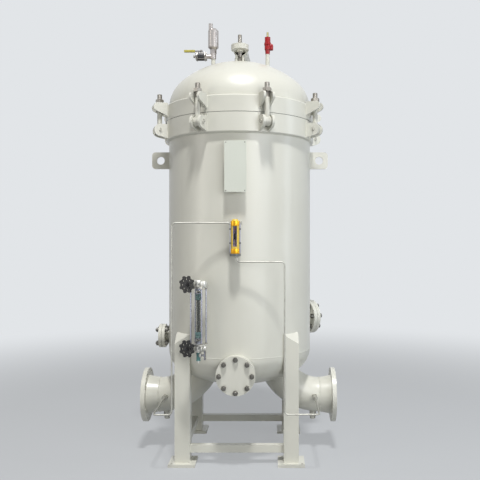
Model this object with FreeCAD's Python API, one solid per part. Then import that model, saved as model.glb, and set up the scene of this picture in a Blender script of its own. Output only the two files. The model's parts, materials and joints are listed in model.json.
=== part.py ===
import FreeCAD, Part
import math
import os

# Vertical coalescer separator housing, millimetres, +Z up.
# The origin is on the floor, under the vessel's axis, in the middle of the four anchor bolts.
# The front, with the sight gauge and the nameplate, looks along -Y. Azimuths run from -Y towards +X.

V = FreeCAD.Vector
UP = V(0, 0, 1)
DOWN = V(0, 0, -1)
LEFT = V(-1, 0, 0)
RIGHT = V(1, 0, 0)
FRONT = V(0, -1, 0)
BACK = V(0, 1, 0)

# Clearances
running_gap = 0.05
slip_gap = 0.1
rest_gap = 0.3
side_gap = 1.0

# Pressure shell
shell_r = 457.2
shell_wall = 12.7
shell_base_z = 650.0
shell_length = 1322.0
bottom_head_ratio = 2.0
bottom_knuckle = 155.4
dome_height = 303.0
dome_knuckle = 212.0

# Closure rings and gasket
ring_over = 22.8
shell_ring_h = 116.0
head_ring_h = 99.0
gasket_t = 3.0
gasket_inset = 4.0
ring_chamfer = 6.0

# Swing bolts
bolt_count = 8
first_bolt_azimuth = -24.7
bolt_circle_over = 45.0
bolt_d = 30.0
bolt_eye_r = 27.0
bolt_end = 32.0
nut_flats = 46.0
nut_h = 22.0
pin_d = 20.0
pin_head = 4.0
ear_t = 15.0
ear_slot = 40.0
ear_h = 88.0
upper_ear_rise = 8.0
upper_ear_tip = 43.0
upper_ear_tip_r = 26.0
lower_ear_eye_r = 38.0
pin_drop = 60.0
lower_ear_foot = 4.0

# Head lift and davit
davit_pipe_d = 88.9
davit_pipe_wall = 5.5
davit_elbow_r = 114.3
davit_radius = 600.0
davit_arm_rise = 108.5
davit_arm_start = 40.0
davit_post_length = 1000.0
davit_bracket_t = 16.0
davit_bracket_w = 130.0
davit_bracket_drop = 45.0
davit_rib_h = 90.0
nose_r = 57.5
nose_h = 33.0
screw_d = 26.0
screw_end = 54.0
bush_wall = 4.0
bush_drop = 11.0
jack_nut_flats = 41.0
jack_nut_h = 14.0
clevis_top = 54.0
clevis_w = 58.0
clevis_gap = 30.0
clevis_depth = 44.0
clevis_pin_r = 8.0
clevis_pin_drop = 24.0
screw_eye_r = 17.0
screw_eye_t = 24.0

# Legs
leg_w = 90.0
leg_wall = 6.0
leg_over = 2.4
leg_cap_t = 6.0
leg_cap_rise = 125.0
leg_cap_slope = 40.0
base_plate_w = 160.0
base_plate_t = 17.0
anchor_inset = 18.0
anchor_hole_r = 9.0
brace_h = 45.0
brace_t = 40.0
brace_wall = 4.0
brace_z = 70.0

# Inlet and outlet, 8 inch class 150
pipe_r = 109.5
pipe_wall = 8.2
pipe_drop = 314.0
elbow_r = 305.0
elbow_reach = 60.8
neck_length = 102.0
pipe_flange_r = 171.5
pipe_flange_t = 28.6
pipe_hub_r = 123.0
raised_face_r = 135.0
raised_face_h = 2.0
pipe_bolt_circle = 298.5
pipe_bolt_count = 8
pipe_bolt_hole_r = 11.2
drain_tap_back = 42.0
tap_r = 17.0
tap_reach = 40.0
drain_tap_r = 21.0
drain_tap_reach = 32.0
drain_plug_h = 16.0
drain_plug_flats = 30.0

# Handhole and blanked nozzles, 4 inch and 2 inch class 150
hand_neck_r = 57.15
hand_neck_wall = 6.0
hand_flange_r = 114.5
hand_flange_t = 24.0
hand_bolt_circle = 190.5
hand_bolt_count = 8
flange_gap = 2.0
handhole_drop = 89.0
handhole_reach = 44.8
rear_nozzle_azimuth = 120.0
rear_nozzle_rise = 163.0
rear_nozzle_reach = 102.8
side_neck_r = 30.15
side_neck_wall = 3.9
side_flange_r = 76.2
side_flange_t = 19.0
side_bolt_circle = 120.7
side_bolt_count = 4
side_nozzle_rise = 70.0
side_nozzle_reach = 64.8
stud_r = 8.0
stud_hole_r = 9.5
stud_nut_flats = 27.0
stud_nut_h = 16.0
stud_end = 5.0
stud_tap_depth = 18.0

# Lifting lugs and nameplate
lug_t = 20.0
lug_h = 108.0
lug_drop = 110.0
lug_reach = 115.8
lug_hole_reach = 59.8
lug_hole_r = 26.0
lug_corner_r = 22.0
plate_w = 127.0
plate_h = 295.0
plate_t = 4.0
plate_reach = 53.8
plate_drop = 205.0
plate_post_w = 60.0
plate_post_h = 180.0

# Differential pressure gauge and its tubing
gauge_r = 24.5
gauge_reach = 62.8
gauge_rise = 602.0
gauge_h = 211.0
gauge_crown = 11.0
gauge_foot_r = 31.0
gauge_foot_h = 13.0
window_w = 22.0
window_h = 117.0
window_base = 54.0
window_t = 3.0
window_depth = 8.0
slot_back = 2.0
pointer_r = 8.0
pointer_h = 34.0
pointer_seat = 40.0
pointer_travel = 96.0
pointer_lift = 55.0
gauge_back_w = 57.0
gauge_back_t = 6.0
gauge_back_h = 150.0
gauge_post_w = 34.0
gauge_post_h = 60.0
tube_r = 4.75
tube_bend = 22.0
tube_nut_flats = 17.0
tube_nut_h = 14.0
high_port_z = 190.0
left_tube_x = 363.0
left_tap_back = 48.0
left_tap_rise = 9.0
right_tube_x = 283.0
right_tap_back = 36.0
right_tap_rise = 11.0
low_tube_drop = 22.0

# Sight gauge
sight_azimuth = -27.0
sight_rise = 76.0
sight_span = 365.0
sight_reach = 87.8
sight_offset = 40.0
sight_nipple_r = 12.0
sight_chest_r = 21.0
sight_boss_r = 20.0
sight_boss_h = 26.0
sight_packing_r = 17.0
sight_packing_h = 24.0
bonnet_flats = 34.0
bonnet_h = 16.0
stem_r = 5.0
wheel_reach = 63.0
wheel_r = 42.0
wheel_t = 10.0
wheel_lobes = 8
wheel_lobe_r = 9.5
wheel_hole_r = 6.0
wheel_hole_circle = 30.0
wheel_hub_r = 15.0
wheel_hub_t = 20.0
glass_r = 9.5
glass_wall = 2.5
shield_r = 22.0
shield_wall = 2.0
rod_r = 4.0
rod_u = 23.0
rod_w = 37.0
rod_plate_t = 10.0
drain_r = 11.0
drain_h = 62.0
drain_handle_z = 28.0
drain_handle_out = 44.0
drain_handle_length = 52.0
drain_handle_t = 7.0

# Fittings on the dome
vent_x = -174.0
riser_r = 13.35
vent_rise = 34.0
tee_h = 34.0
tee_r = 18.0
tee_branch = 30.0
tee_branch_r = 14.0
union_h = 26.0
union_flats = 36.0
eliminator_r = 34.0
eliminator_h = 137.0
eliminator_cone = 14.0
eliminator_offset = 17.0
eliminator_outlet_r = 13.5
eliminator_outlet_h = 34.0
valve_r = 27.0
valve_w = 40.0
valve_end_w = 11.0
valve_end_r = 31.0
valve_stub_r = 9.0
valve_stub = 20.0
lever_z = 24.0
lever_stem_r = 6.0
lever_length = 112.0
lever_w = 18.0
lever_t = 6.0
grip_length = 72.0
grip_t = 13.0
relief_x = 181.0
relief_rise = 65.0
relief_foot_r = 14.0
relief_foot_h = 30.0
relief_body_r = 20.0
relief_body_h = 50.0
relief_bonnet_r = 18.5
relief_bonnet_h = 31.0
relief_outlet_r = 15.0
relief_outlet_x = 22.0
relief_outlet_drop = 26.0
relief_stem_r = 6.75
relief_stem_up = 33.0
relief_stem_in = 20.0

# Internals
deck_rise = 30.0
deck_t = 15.0
deck_ledge_w = 28.0
deck_ledge_t = 12.0
cartridge_r = 76.0
cartridge_gap = 20.0
coalescer_count = 10
coalescer_h = 1120.0
separator_count = 4
separator_h = 760.0
cap_h = 18.0
tie_r = 10.0
tie_h = 30.0

# Worked out from the values above
shell_inner_r = shell_r - shell_wall
shell_top_z = shell_base_z + shell_length
bottom_head_depth = shell_r / bottom_head_ratio
ring_r = shell_r + ring_over
seam_z = shell_top_z + shell_ring_h
head_base_z = seam_z + gasket_t
dome_base_z = head_base_z + head_ring_h
dome_top_z = dome_base_z + dome_height
bolt_circle_r = ring_r + bolt_circle_over
pin_z = seam_z - pin_drop
ear_top_z = dome_base_z + upper_ear_rise
nut_seat = ear_top_z - pin_z
nut_z = ear_top_z + rest_gap
bolt_top_z = nut_z + nut_h + bolt_end
bolt_azimuths = [first_bolt_azimuth + 360.0 / bolt_count * i for i in range(bolt_count)]
davit_azimuth = bolt_azimuths[0] + 180.0 / bolt_count + 180.0
davit_arm_z = dome_top_z + davit_arm_rise
nose_base_z = davit_arm_z - nose_h / 2
nose_top_z = davit_arm_z + nose_h / 2
clevis_top_z = dome_top_z + clevis_top
clevis_pin_z = clevis_top_z - clevis_pin_drop
leg_xy = (shell_r + leg_over) / math.sqrt(2)
pipe_axis_z = shell_base_z - pipe_drop
elbow_end_x = shell_r + elbow_reach
pipe_x = elbow_end_x - elbow_r
elbow_top_z = pipe_axis_z + elbow_r
left_tube_end_x = elbow_end_x - left_tap_back
left_tube_z = pipe_axis_z + left_tap_rise
right_tube_end_x = elbow_end_x - right_tap_back
right_tube_z = pipe_axis_z + right_tap_rise
lug_z = shell_top_z - lug_drop
lug_tip = shell_r + lug_reach
lug_hole_x = shell_r + lug_hole_reach
plate_z = shell_top_z - plate_drop
plate_face = shell_r + plate_reach
gauge_y = shell_r + gauge_reach
gauge_base_z = shell_base_z + gauge_rise
sight_bottom_z = shell_base_z + sight_rise
sight_top_z = sight_bottom_z + sight_span
sight_u = shell_r + sight_reach
wheel_u = sight_u + wheel_reach
vent_riser_top = dome_top_z + vent_rise
relief_base_z = dome_top_z + relief_rise
deck_z = shell_base_z + deck_rise
deck_top_z = deck_z + deck_t
cap_r = cartridge_r + side_gap
coalescer_circle = shell_inner_r - cap_r - cartridge_gap
separator_circle = (cap_r + cartridge_gap / 2) * math.sqrt(2)


def radial(azimuth):
    """Unit vector that points out of the vessel at an azimuth."""
    a = math.radians(azimuth)
    return V(math.sin(a), -math.cos(a), 0)


def tangent(azimuth):
    """Unit vector along the shell at an azimuth, to the right as seen from outside."""
    a = math.radians(azimuth)
    return V(math.cos(a), math.sin(a), 0)


def around(shape, azimuth):
    """Turn a shape modelled along +X to its azimuth."""
    out = shape.copy()
    out.rotate(V(0, 0, 0), UP, azimuth - 90.0)
    return out


def aim(shape, base, direction):
    """Move a shape modelled at the origin along +Z to a base point and a direction."""
    out = shape.copy()
    out.Placement = FreeCAD.Placement(base, FreeCAD.Rotation(UP, direction)).multiply(out.Placement)
    return out


def rod(r, start, direction, length):
    return Part.makeCylinder(r, length, start, direction)


def tube(r, wall, start, direction, length):
    return rod(r, start, direction, length).cut(rod(r - wall, start, direction, length))


def block(x0, x1, y0, y1, z0, z1):
    return Part.makeBox(x1 - x0, y1 - y0, z1 - z0, V(x0, y0, z0))


def hexagon(flats, height, bore=0.0):
    """Hexagonal prism on the origin, with an optional bore."""
    corner = flats / math.sqrt(3)
    points = [V(corner * math.cos(math.radians(60 * i)), corner * math.sin(math.radians(60 * i)), 0)
              for i in range(7)]
    prism = Part.Face(Part.makePolygon(points)).extrude(V(0, 0, height))
    if bore > 0:
        prism = prism.cut(rod(bore, V(0, 0, 0), UP, height))
    return prism


def lathe(profile):
    """Turn a closed list of (radius, height) points about Z."""
    points = [V(r, 0, z) for r, z in profile]
    face = Part.Face(Part.makePolygon(points + points[:1]))
    return face.revolve(V(0, 0, 0), UP, 360)


def fuse(shapes):
    out = shapes[0].fuse(shapes[1:]) if len(shapes) > 1 else shapes[0]
    return out.removeSplitter()


def head_cap(radius, depth, knuckle, base_z, wall=0.0):
    """Domed head about Z with a knuckle and a crown arc, solid or as a shell. A negative depth hangs down."""
    up = math.copysign(1.0, depth)
    deep = abs(depth)
    crown = ((radius - knuckle) ** 2 + deep ** 2 - knuckle ** 2) / (2 * (deep - knuckle))
    tilt = math.atan2(radius - knuckle, crown - deep)

    def arcs(inset):
        small, large = knuckle - inset, crown - inset

        def on_knuckle(angle):
            return V(radius - knuckle + small * math.sin(angle), 0, base_z + up * small * math.cos(angle))

        def on_crown(angle):
            return V(large * math.sin(angle), 0, base_z + up * (deep - crown + large * math.cos(angle)))
        lower = Part.Arc(on_knuckle(math.pi / 2), on_knuckle((math.pi / 2 + tilt) / 2), on_knuckle(tilt))
        upper = Part.Arc(on_crown(tilt), on_crown(tilt / 2), on_crown(0))
        return [lower.toShape(), upper.toShape()]
    inner = wall if wall > 0 else radius
    rim = Part.makeLine(V(radius - inner, 0, base_z), V(radius, 0, base_z))
    inner_z = base_z + up * (deep - wall) if wall > 0 else base_z
    axis = Part.makeLine(V(0, 0, base_z + depth), V(0, 0, inner_z))
    edges = [rim, axis] + arcs(0) + (arcs(wall) if wall > 0 else [])
    wire = Part.Wire(Part.__sortEdges__(edges))
    return Part.Face(wire).revolve(V(0, 0, 0), UP, 360)


def vessel_envelope(inset=0.0):
    """Solid body of the shell and both heads, moved in from the outside by an inset."""
    r = shell_r - inset
    barrel = rod(r, V(0, 0, shell_base_z), UP, dome_base_z - shell_base_z)
    bottom = head_cap(r, inset - bottom_head_depth, bottom_knuckle - inset, shell_base_z)
    top = head_cap(r, dome_height - inset, dome_knuckle - inset, dome_base_z)
    return barrel.fuse([bottom, top])


def elbow_solid(side, r):
    """Quarter bend from under the vessel out to the side, filled to a radius."""
    centre = V(side * elbow_end_x, 0, elbow_top_z)
    circle = Part.Circle(V(side * pipe_x, 0, elbow_top_z), UP, r)
    face = Part.Face(Part.Wire([circle.toShape()]))
    return face.revolve(centre, V(0, 1, 0), -side * 90)


def dome_bores():
    """Holes in the dome for the two risers."""
    top = dome_top_z - shell_wall
    low = dome_base_z + dome_height / 2
    return [rod(riser_r, V(x, 0, low), UP, top - low + 2 * shell_wall) for x in (vent_x, relief_x)]


def side_nozzle_bores():
    """Holes in the shell for the two blanked nozzles and the sight gauge's nipples."""
    out = radial(rear_nozzle_azimuth)
    start = shell_r / 2
    rear = rod(hand_neck_r, out * start + V(0, 0, shell_base_z + rear_nozzle_rise), out, shell_r)
    side = rod(side_neck_r, LEFT * start + V(0, 0, shell_base_z + side_nozzle_rise), LEFT, shell_r)
    gauge = radial(sight_azimuth)
    taps = [rod(sight_nipple_r, gauge * start + V(0, 0, z), gauge, shell_r)
            for z in (sight_bottom_z, sight_top_z)]
    return [rear, side] + taps


def handhole_z():
    return shell_base_z - handhole_drop


def handhole_bore():
    return rod(hand_neck_r, V(0, -shell_r / 2, handhole_z()), FRONT, shell_r)


def shell_course():
    shell = tube(shell_r, shell_wall, V(0, 0, shell_base_z), UP, shell_length)
    return [shell.cut(side_nozzle_bores())]


def bottom_head():
    head = head_cap(shell_r, -bottom_head_depth, bottom_knuckle, shell_base_z, shell_wall)
    bends = [elbow_solid(side, pipe_r) for side in (-1, 1)]
    return [head.cut(bends + [handhole_bore()])]


def shell_ring():
    low = ring_chamfer
    ring = lathe([(shell_inner_r, shell_top_z), (ring_r - low, shell_top_z), (ring_r, shell_top_z + low),
                  (ring_r, seam_z), (shell_inner_r, seam_z)])
    return [ring]


def head_ring():
    top = dome_base_z
    ring = lathe([(shell_inner_r, head_base_z), (ring_r, head_base_z), (ring_r, top - ring_chamfer),
                  (ring_r - ring_chamfer, top), (shell_inner_r, top)])
    return [ring]


def closure_gasket():
    outer = ring_r - gasket_inset
    return [tube(outer, outer - shell_inner_r - gasket_inset, V(0, 0, seam_z), UP, gasket_t)]


def ear_plate(top_z, eye_u, eye_z, eye_r, foot_z):
    """Ear in the radial plane: flat top, round outer end, slanted underside."""
    root_u = ring_r - ear_t
    dx, dz = eye_u - root_u, eye_z - foot_z
    far = math.hypot(dx, dz)
    turn = math.atan2(dz, dx) - math.asin(eye_r / far)
    reach = math.sqrt(far * far - eye_r * eye_r)
    touch = V(root_u + reach * math.cos(turn), 0, foot_z + reach * math.sin(turn))
    start = V(eye_u, 0, eye_z + eye_r)
    tip = V(eye_u + eye_r, 0, eye_z)
    edges = [Part.makeLine(V(root_u, 0, foot_z), V(root_u, 0, top_z)),
             Part.makeLine(V(root_u, 0, top_z), start),
             Part.Arc(start, tip, touch).toShape(),
             Part.makeLine(touch, V(root_u, 0, foot_z))]
    return Part.Face(Part.Wire(edges)).extrude(V(0, ear_t, 0))


def ear_pairs(plate, z0, z1):
    """Two plates either side of a slot, at every bolt, fitted to the ring."""
    ring = rod(ring_r, V(0, 0, z0), UP, z1 - z0)
    plate = plate.cut(ring)
    pair = []
    for start in (ear_slot / 2, -ear_slot / 2 - ear_t):
        one = plate.copy()
        one.translate(V(0, start, 0))
        pair.append(one.cut(ring))
    return [around(one, az) for az in bolt_azimuths for one in pair]


def lower_ears():
    plate = ear_plate(pin_z + lower_ear_eye_r, bolt_circle_r, pin_z, lower_ear_eye_r,
                      shell_top_z + lower_ear_foot)
    hole = rod(pin_d / 2 + slip_gap, V(bolt_circle_r, 0, pin_z), BACK, ear_t)
    return ear_pairs(plate.cut(hole), shell_top_z, seam_z)


def upper_ears():
    """The top falls away outside the bolt on an arc about the pin, so that the nut swings clear."""
    eye_u = ring_r + bolt_circle_over + upper_ear_tip - upper_ear_tip_r
    plate = ear_plate(ear_top_z, eye_u, ear_top_z - upper_ear_tip_r, upper_ear_tip_r, ear_top_z - ear_h)
    corner = block(bolt_circle_r, eye_u + 2 * upper_ear_tip_r, 0, ear_t, pin_z, ear_top_z + ear_t)
    swing = rod(nut_seat, V(bolt_circle_r, 0, pin_z), BACK, ear_t)
    return ear_pairs(plate.cut(corner.cut(swing)), ear_top_z - ear_h, ear_top_z)


def hinge_pins():
    length = ear_slot + 2 * ear_t + 2 * pin_head
    pin = rod(pin_d / 2, V(bolt_circle_r, -length / 2, pin_z), BACK, length)
    return [around(pin, az) for az in bolt_azimuths]


def swing_bolt():
    """Eye bolt that stands on its pin, modelled along +X."""
    width = ear_slot - 2 * side_gap
    eye = rod(bolt_eye_r, V(bolt_circle_r, -width / 2, pin_z), BACK, width)
    shank = rod(bolt_d / 2, V(bolt_circle_r, 0, pin_z), UP, bolt_top_z - pin_z)
    bore = rod(pin_d / 2 + running_gap, V(bolt_circle_r, -width / 2, pin_z), BACK, width)
    return fuse([eye, shank]).cut(bore)


def swing_nut():
    nut = hexagon(nut_flats, nut_h, bolt_d / 2 + running_gap)
    nut.translate(V(bolt_circle_r, 0, nut_z))
    return nut


def leg_positions():
    return [(sx * leg_xy, sy * leg_xy) for sx in (-1, 1) for sy in (-1, 1)]


def leg_cap_line():
    """Height of the cap at the vessel's surface and the plane that slopes down outwards."""
    high_z = shell_base_z + leg_cap_rise
    reach = leg_w * math.sqrt(2)
    return high_z, math.tan(math.radians(leg_cap_slope)), reach


def sloped_block(azimuth, lift):
    """Everything under a plane that slopes down and away from the vessel at a corner."""
    high_z, slope, reach = leg_cap_line()
    u0 = shell_r
    top = high_z + lift
    points = [V(0, 0, 0), V(u0 + 2 * reach, 0, 0), V(u0 + 2 * reach, 0, top - 2 * reach * slope),
              V(u0 - reach, 0, top + reach * slope), V(0, 0, top + reach * slope)]
    face = Part.Face(Part.makePolygon(points + points[:1]))
    wedge = face.extrude(V(0, 4 * leg_w, 0))
    wedge.translate(V(0, -2 * leg_w, 0))
    return around(wedge, azimuth)


def support_legs():
    """Square tubes cut to the shell, each closed by a sloping cap plate."""
    vessel = vessel_envelope()
    top = shell_base_z + 2 * leg_cap_rise
    pieces = []
    for x, y in leg_positions():
        azimuth = math.degrees(math.atan2(x, -y))
        half = leg_w / 2
        outer = block(x - half, x + half, y - half, y + half, base_plate_t, top)
        inner_half = half - leg_wall
        inner = block(x - inner_half, x + inner_half, y - inner_half, y + inner_half, base_plate_t, top)
        under = sloped_block(azimuth, 0)
        cap = outer.common(sloped_block(azimuth, leg_cap_t)).cut([under, vessel])
        pieces += [outer.cut(inner).common(under).cut(vessel), cap]
    return pieces


def base_plates():
    half = base_plate_w / 2
    reach = half - anchor_inset
    plates = []
    for x, y in leg_positions():
        plate = block(x - half, x + half, y - half, y + half, 0, base_plate_t)
        hole = V(x + math.copysign(reach, x), y + math.copysign(reach, y), 0)
        plates.append(plate.cut(rod(anchor_hole_r, hole, UP, base_plate_t)))
    return plates


def leg_braces():
    """Four square bars between the legs, just above the base plates."""
    half = leg_xy - leg_w / 2
    bars = []
    for side in (-1, 1):
        y = side * leg_xy
        bar = block(-half, half, y - brace_t / 2, y + brace_t / 2, brace_z, brace_z + brace_h)
        core = block(-half, half, y - brace_t / 2 + brace_wall, y + brace_t / 2 - brace_wall,
                     brace_z + brace_wall, brace_z + brace_h - brace_wall)
        hollow = bar.cut(core)
        turned = hollow.copy()
        turned.rotate(V(0, 0, 0), UP, 90)
        bars += [hollow, turned]
    return bars


def pipe_elbow(side):
    """Long-radius bend, cut off where it meets the inside of the bottom head."""
    bend = elbow_solid(side, pipe_r).cut(elbow_solid(side, pipe_r - pipe_wall))
    bend = bend.cut(vessel_envelope(shell_wall))
    return [bend]


def pipe_flange(side):
    """Weld-neck flange with a raised face."""
    back = neck_length - pipe_flange_t
    face = neck_length
    bore = pipe_r - pipe_wall
    flange = lathe([(bore, 0), (pipe_r, 0), (pipe_hub_r, back), (pipe_flange_r, back),
                    (pipe_flange_r, face - raised_face_h), (raised_face_r, face - raised_face_h),
                    (raised_face_r, face), (bore, face)])
    holes = bolt_ring(pipe_bolt_circle, pipe_bolt_count, pipe_bolt_hole_r, back, pipe_flange_t)
    return [aim(flange.cut(holes), V(side * elbow_end_x, 0, pipe_axis_z), V(side, 0, 0))]


def bolt_ring(circle_d, count, r, start, length, shift=0.5):
    """Rods on a bolt circle about Z. With a shift of a half they straddle the centre lines."""
    rods = []
    for i in range(count):
        a = 2 * math.pi * (i + shift) / count
        rods.append(rod(r, V(circle_d / 2 * math.cos(a), circle_d / 2 * math.sin(a), start), UP, length))
    return rods


class Nozzle:
    """Blanked nozzle of the vessel: its direction, its reach past the shell and its flange's sizes."""

    def __init__(self, z, out, reach, size, tapped=False):
        self.base = V(0, 0, z)
        self.out = out
        self.neck_r, self.neck_wall, self.flange_r, self.flange_t, self.circle, self.count = size
        self.tapped = tapped
        self.shift = 0.0 if tapped else 0.5
        self.neck_face = shell_r + reach - self.flange_t - flange_gap

    def place(self, shape, distance):
        """Move a shape modelled along +Z to a distance out along the nozzle."""
        return aim(shape, self.base + self.out * distance, self.out)

    def bolts(self, r, start, length):
        return bolt_ring(self.circle, self.count, r, start, length, self.shift)


def nozzles():
    """The handhole, whose studs are tapped into its flange, the rear nozzle and the small side nozzle."""
    four_inch = (hand_neck_r, hand_neck_wall, hand_flange_r, hand_flange_t, hand_bolt_circle, hand_bolt_count)
    two_inch = (side_neck_r, side_neck_wall, side_flange_r, side_flange_t, side_bolt_circle, side_bolt_count)
    return [Nozzle(handhole_z(), FRONT, handhole_reach, four_inch, tapped=True),
            Nozzle(shell_base_z + rear_nozzle_rise, radial(rear_nozzle_azimuth), rear_nozzle_reach, four_inch),
            Nozzle(shell_base_z + side_nozzle_rise, LEFT, side_nozzle_reach, two_inch)]


def nozzle_necks():
    """Pipe necks with slip-on flanges. The handhole's flange is let into the curve of the head."""
    inside = vessel_envelope(shell_wall)
    start = shell_r / 2
    necks = []
    for nozzle in nozzles():
        bore = nozzle.neck_r - nozzle.neck_wall
        reach = nozzle.neck_face - start
        neck = tube(nozzle.neck_r, nozzle.neck_wall, V(0, 0, 0), UP, reach)
        flange = tube(nozzle.flange_r, nozzle.flange_r - bore, V(0, 0, reach - nozzle.flange_t), UP,
                      nozzle.flange_t)
        hole = stud_r + slip_gap if nozzle.tapped else stud_hole_r
        flange = flange.cut(nozzle.bolts(hole, reach - nozzle.flange_t, nozzle.flange_t))
        neck = nozzle.place(neck, start).cut(inside)
        flange = nozzle.place(flange, start).cut(vessel_envelope())
        necks.append(fuse([neck, flange]))
    return necks


def blind_flanges():
    """Blind covers, each with its gasket as a thin step on the back."""
    covers = []
    for nozzle in nozzles():
        seat_r = nozzle.circle / 2 - 2 * stud_r
        top = flange_gap + nozzle.flange_t
        cover = lathe([(0, 0), (seat_r, 0), (seat_r, flange_gap), (nozzle.flange_r, flange_gap),
                       (nozzle.flange_r, top), (0, top)])
        covers.append(nozzle.place(cover.cut(nozzle.bolts(stud_hole_r, 0, top)), nozzle.neck_face))
    return covers


def flange_studs():
    """Studs with hexagon nuts. The handhole's end in its flange, the others have a nut on both ends."""
    pieces = []
    for nozzle in nozzles():
        out = flange_gap + nozzle.flange_t
        back = stud_tap_depth if nozzle.tapped else nozzle.flange_t
        tail = 0 if nozzle.tapped else stud_nut_h + stud_end
        length = tail + back + out + stud_nut_h + stud_end
        for stud in nozzle.bolts(stud_r, -back - tail, length):
            spot = stud.CenterOfMass
            nut = hexagon(stud_nut_flats, stud_nut_h)
            nut.translate(V(spot.x, spot.y, out))
            parts = [stud, nut]
            if not nozzle.tapped:
                back_nut = hexagon(stud_nut_flats, stud_nut_h)
                back_nut.translate(V(spot.x, spot.y, -back - stud_nut_h))
                parts.append(back_nut)
            pieces.append(nozzle.place(fuse(parts), nozzle.neck_face))
    return pieces


def pipe_fittings():
    """Instrument taps and drains of the two pipes, and the nuts of the tubing."""
    pieces = []
    drain_x = elbow_end_x - drain_tap_back
    for side, x, z in ((-1, left_tube_end_x, left_tube_z), (1, right_tube_end_x, right_tube_z)):
        bend = elbow_solid(side, pipe_r)
        tap = rod(tap_r, V(side * x, 0, z), FRONT, pipe_r + tap_reach).cut(bend)
        nut = aim(hexagon(tube_nut_flats, tube_nut_h), V(side * x, -pipe_r - tap_reach, z), FRONT)
        drain = rod(drain_tap_r, V(side * drain_x, 0, pipe_axis_z), DOWN, pipe_r + drain_tap_reach).cut(bend)
        plug = aim(hexagon(drain_plug_flats, drain_plug_h),
                   V(side * drain_x, 0, pipe_axis_z - pipe_r - drain_tap_reach), DOWN)
        pieces += [tap, nut, drain, plug]
    high_z = gauge_base_z + high_port_z
    for side in (-1, 1):
        port = aim(hexagon(tube_nut_flats, tube_nut_h), V(side * gauge_r, -gauge_y, high_z), V(side, 0, 0))
        pieces.append(port)
    pieces.append(aim(hexagon(tube_nut_flats, low_port_h()), V(low_port_x(), -gauge_y, gauge_base_z), DOWN))
    return pieces


def low_port_x():
    return gauge_r / 3


def low_port_h():
    return low_tube_drop - tube_bend / 2


def bent_tube(points, r, bend):
    """Round bar along straight runs joined by tangent arcs."""
    edges = []
    start = points[0]
    for before, corner, after in zip(points, points[1:], points[2:]):
        to_corner = (corner - before).normalize()
        away = (after - corner).normalize()
        half_turn = to_corner.getAngle(away) / 2
        trim = bend * math.tan(half_turn)
        first = corner - to_corner * trim
        last = corner + away * trim
        centre = corner + (away - to_corner).normalize() * (bend / math.cos(half_turn))
        middle = centre + (corner - centre).normalize() * bend
        edges += [Part.makeLine(start, first), Part.Arc(first, middle, last).toShape()]
        start = last
    edges.append(Part.makeLine(start, points[-1]))
    path = Part.Wire(edges)
    circle = Part.Circle(points[0], points[1] - points[0], r).toShape()
    return path.makePipeShell([Part.Wire([circle])], True, False)


def gauge_tubing():
    """Rigid impulse lines from the gauge to the inlet and outlet pipes."""
    y = -gauge_y
    tap_y = -pipe_r - tap_reach - tube_nut_h
    high_z = gauge_base_z + high_port_z
    high = [V(-gauge_r - tube_nut_h, y, high_z), V(-left_tube_x, y, high_z),
            V(-left_tube_x, y, left_tube_z), V(-left_tube_end_x, y, left_tube_z),
            V(-left_tube_end_x, tap_y, left_tube_z)]
    low_x = low_port_x()
    low_z = gauge_base_z - low_port_h()
    run_z = low_z - tube_bend
    low = [V(low_x, y, low_z), V(low_x, y, run_z), V(right_tube_x, y, run_z),
           V(right_tube_x, y, right_tube_z), V(right_tube_end_x, y, right_tube_z),
           V(right_tube_end_x, tap_y, right_tube_z)]
    return [bent_tube(high, tube_r, tube_bend), bent_tube(low, tube_r, tube_bend * 0.9)]


def lifting_lugs():
    """Plates with rounded outer corners and a shackle hole, welded to the shell."""
    half = lug_h / 2
    plate = block(shell_r - lug_t, lug_tip, -lug_t / 2, lug_t / 2, lug_z - half, lug_z + half)
    corners = [e for e in plate.Edges
               if abs(e.Vertexes[0].X - lug_tip) < 0.01 and abs(e.Vertexes[1].X - lug_tip) < 0.01
               and abs(e.Vertexes[0].Y - e.Vertexes[1].Y) > lug_t / 2]
    plate = plate.makeFillet(lug_corner_r, corners)
    plate = plate.cut(rod(lug_hole_r, V(lug_hole_x, -lug_t / 2, lug_z), BACK, lug_t))
    plate = plate.cut(rod(shell_r, V(0, 0, lug_z - half), UP, lug_h))
    return [around(plate, 90), around(plate, -90)]


def nameplate():
    """Bare plate on a stand-off that is welded to the shell."""
    half_w, half_h = plate_w / 2, plate_h / 2
    plate = block(-half_w, half_w, -plate_face, plate_t - plate_face, plate_z - half_h, plate_z + half_h)
    post = block(-plate_post_w / 2, plate_post_w / 2, plate_t - plate_face, -shell_r / 2,
                 plate_z - plate_post_h / 2, plate_z + plate_post_h / 2)
    post = post.cut(rod(shell_r, V(0, 0, plate_z - plate_post_h), UP, 2 * plate_post_h))
    return [plate, post]


def gauge_bracket():
    """Back plate behind the gauge and the post that carries it."""
    back_y = gauge_r - gauge_y
    middle = gauge_base_z + gauge_h / 2
    plate = block(-gauge_back_w / 2, gauge_back_w / 2, back_y, back_y + gauge_back_t,
                  middle - gauge_back_h / 2, middle + gauge_back_h / 2)
    post = block(-gauge_post_w / 2, gauge_post_w / 2, back_y + gauge_back_t, -shell_r / 2,
                 middle - gauge_post_h / 2, middle + gauge_post_h / 2)
    post = post.cut(rod(shell_r, V(0, 0, middle - gauge_post_h), UP, 2 * gauge_post_h))
    return [plate, post]


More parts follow.
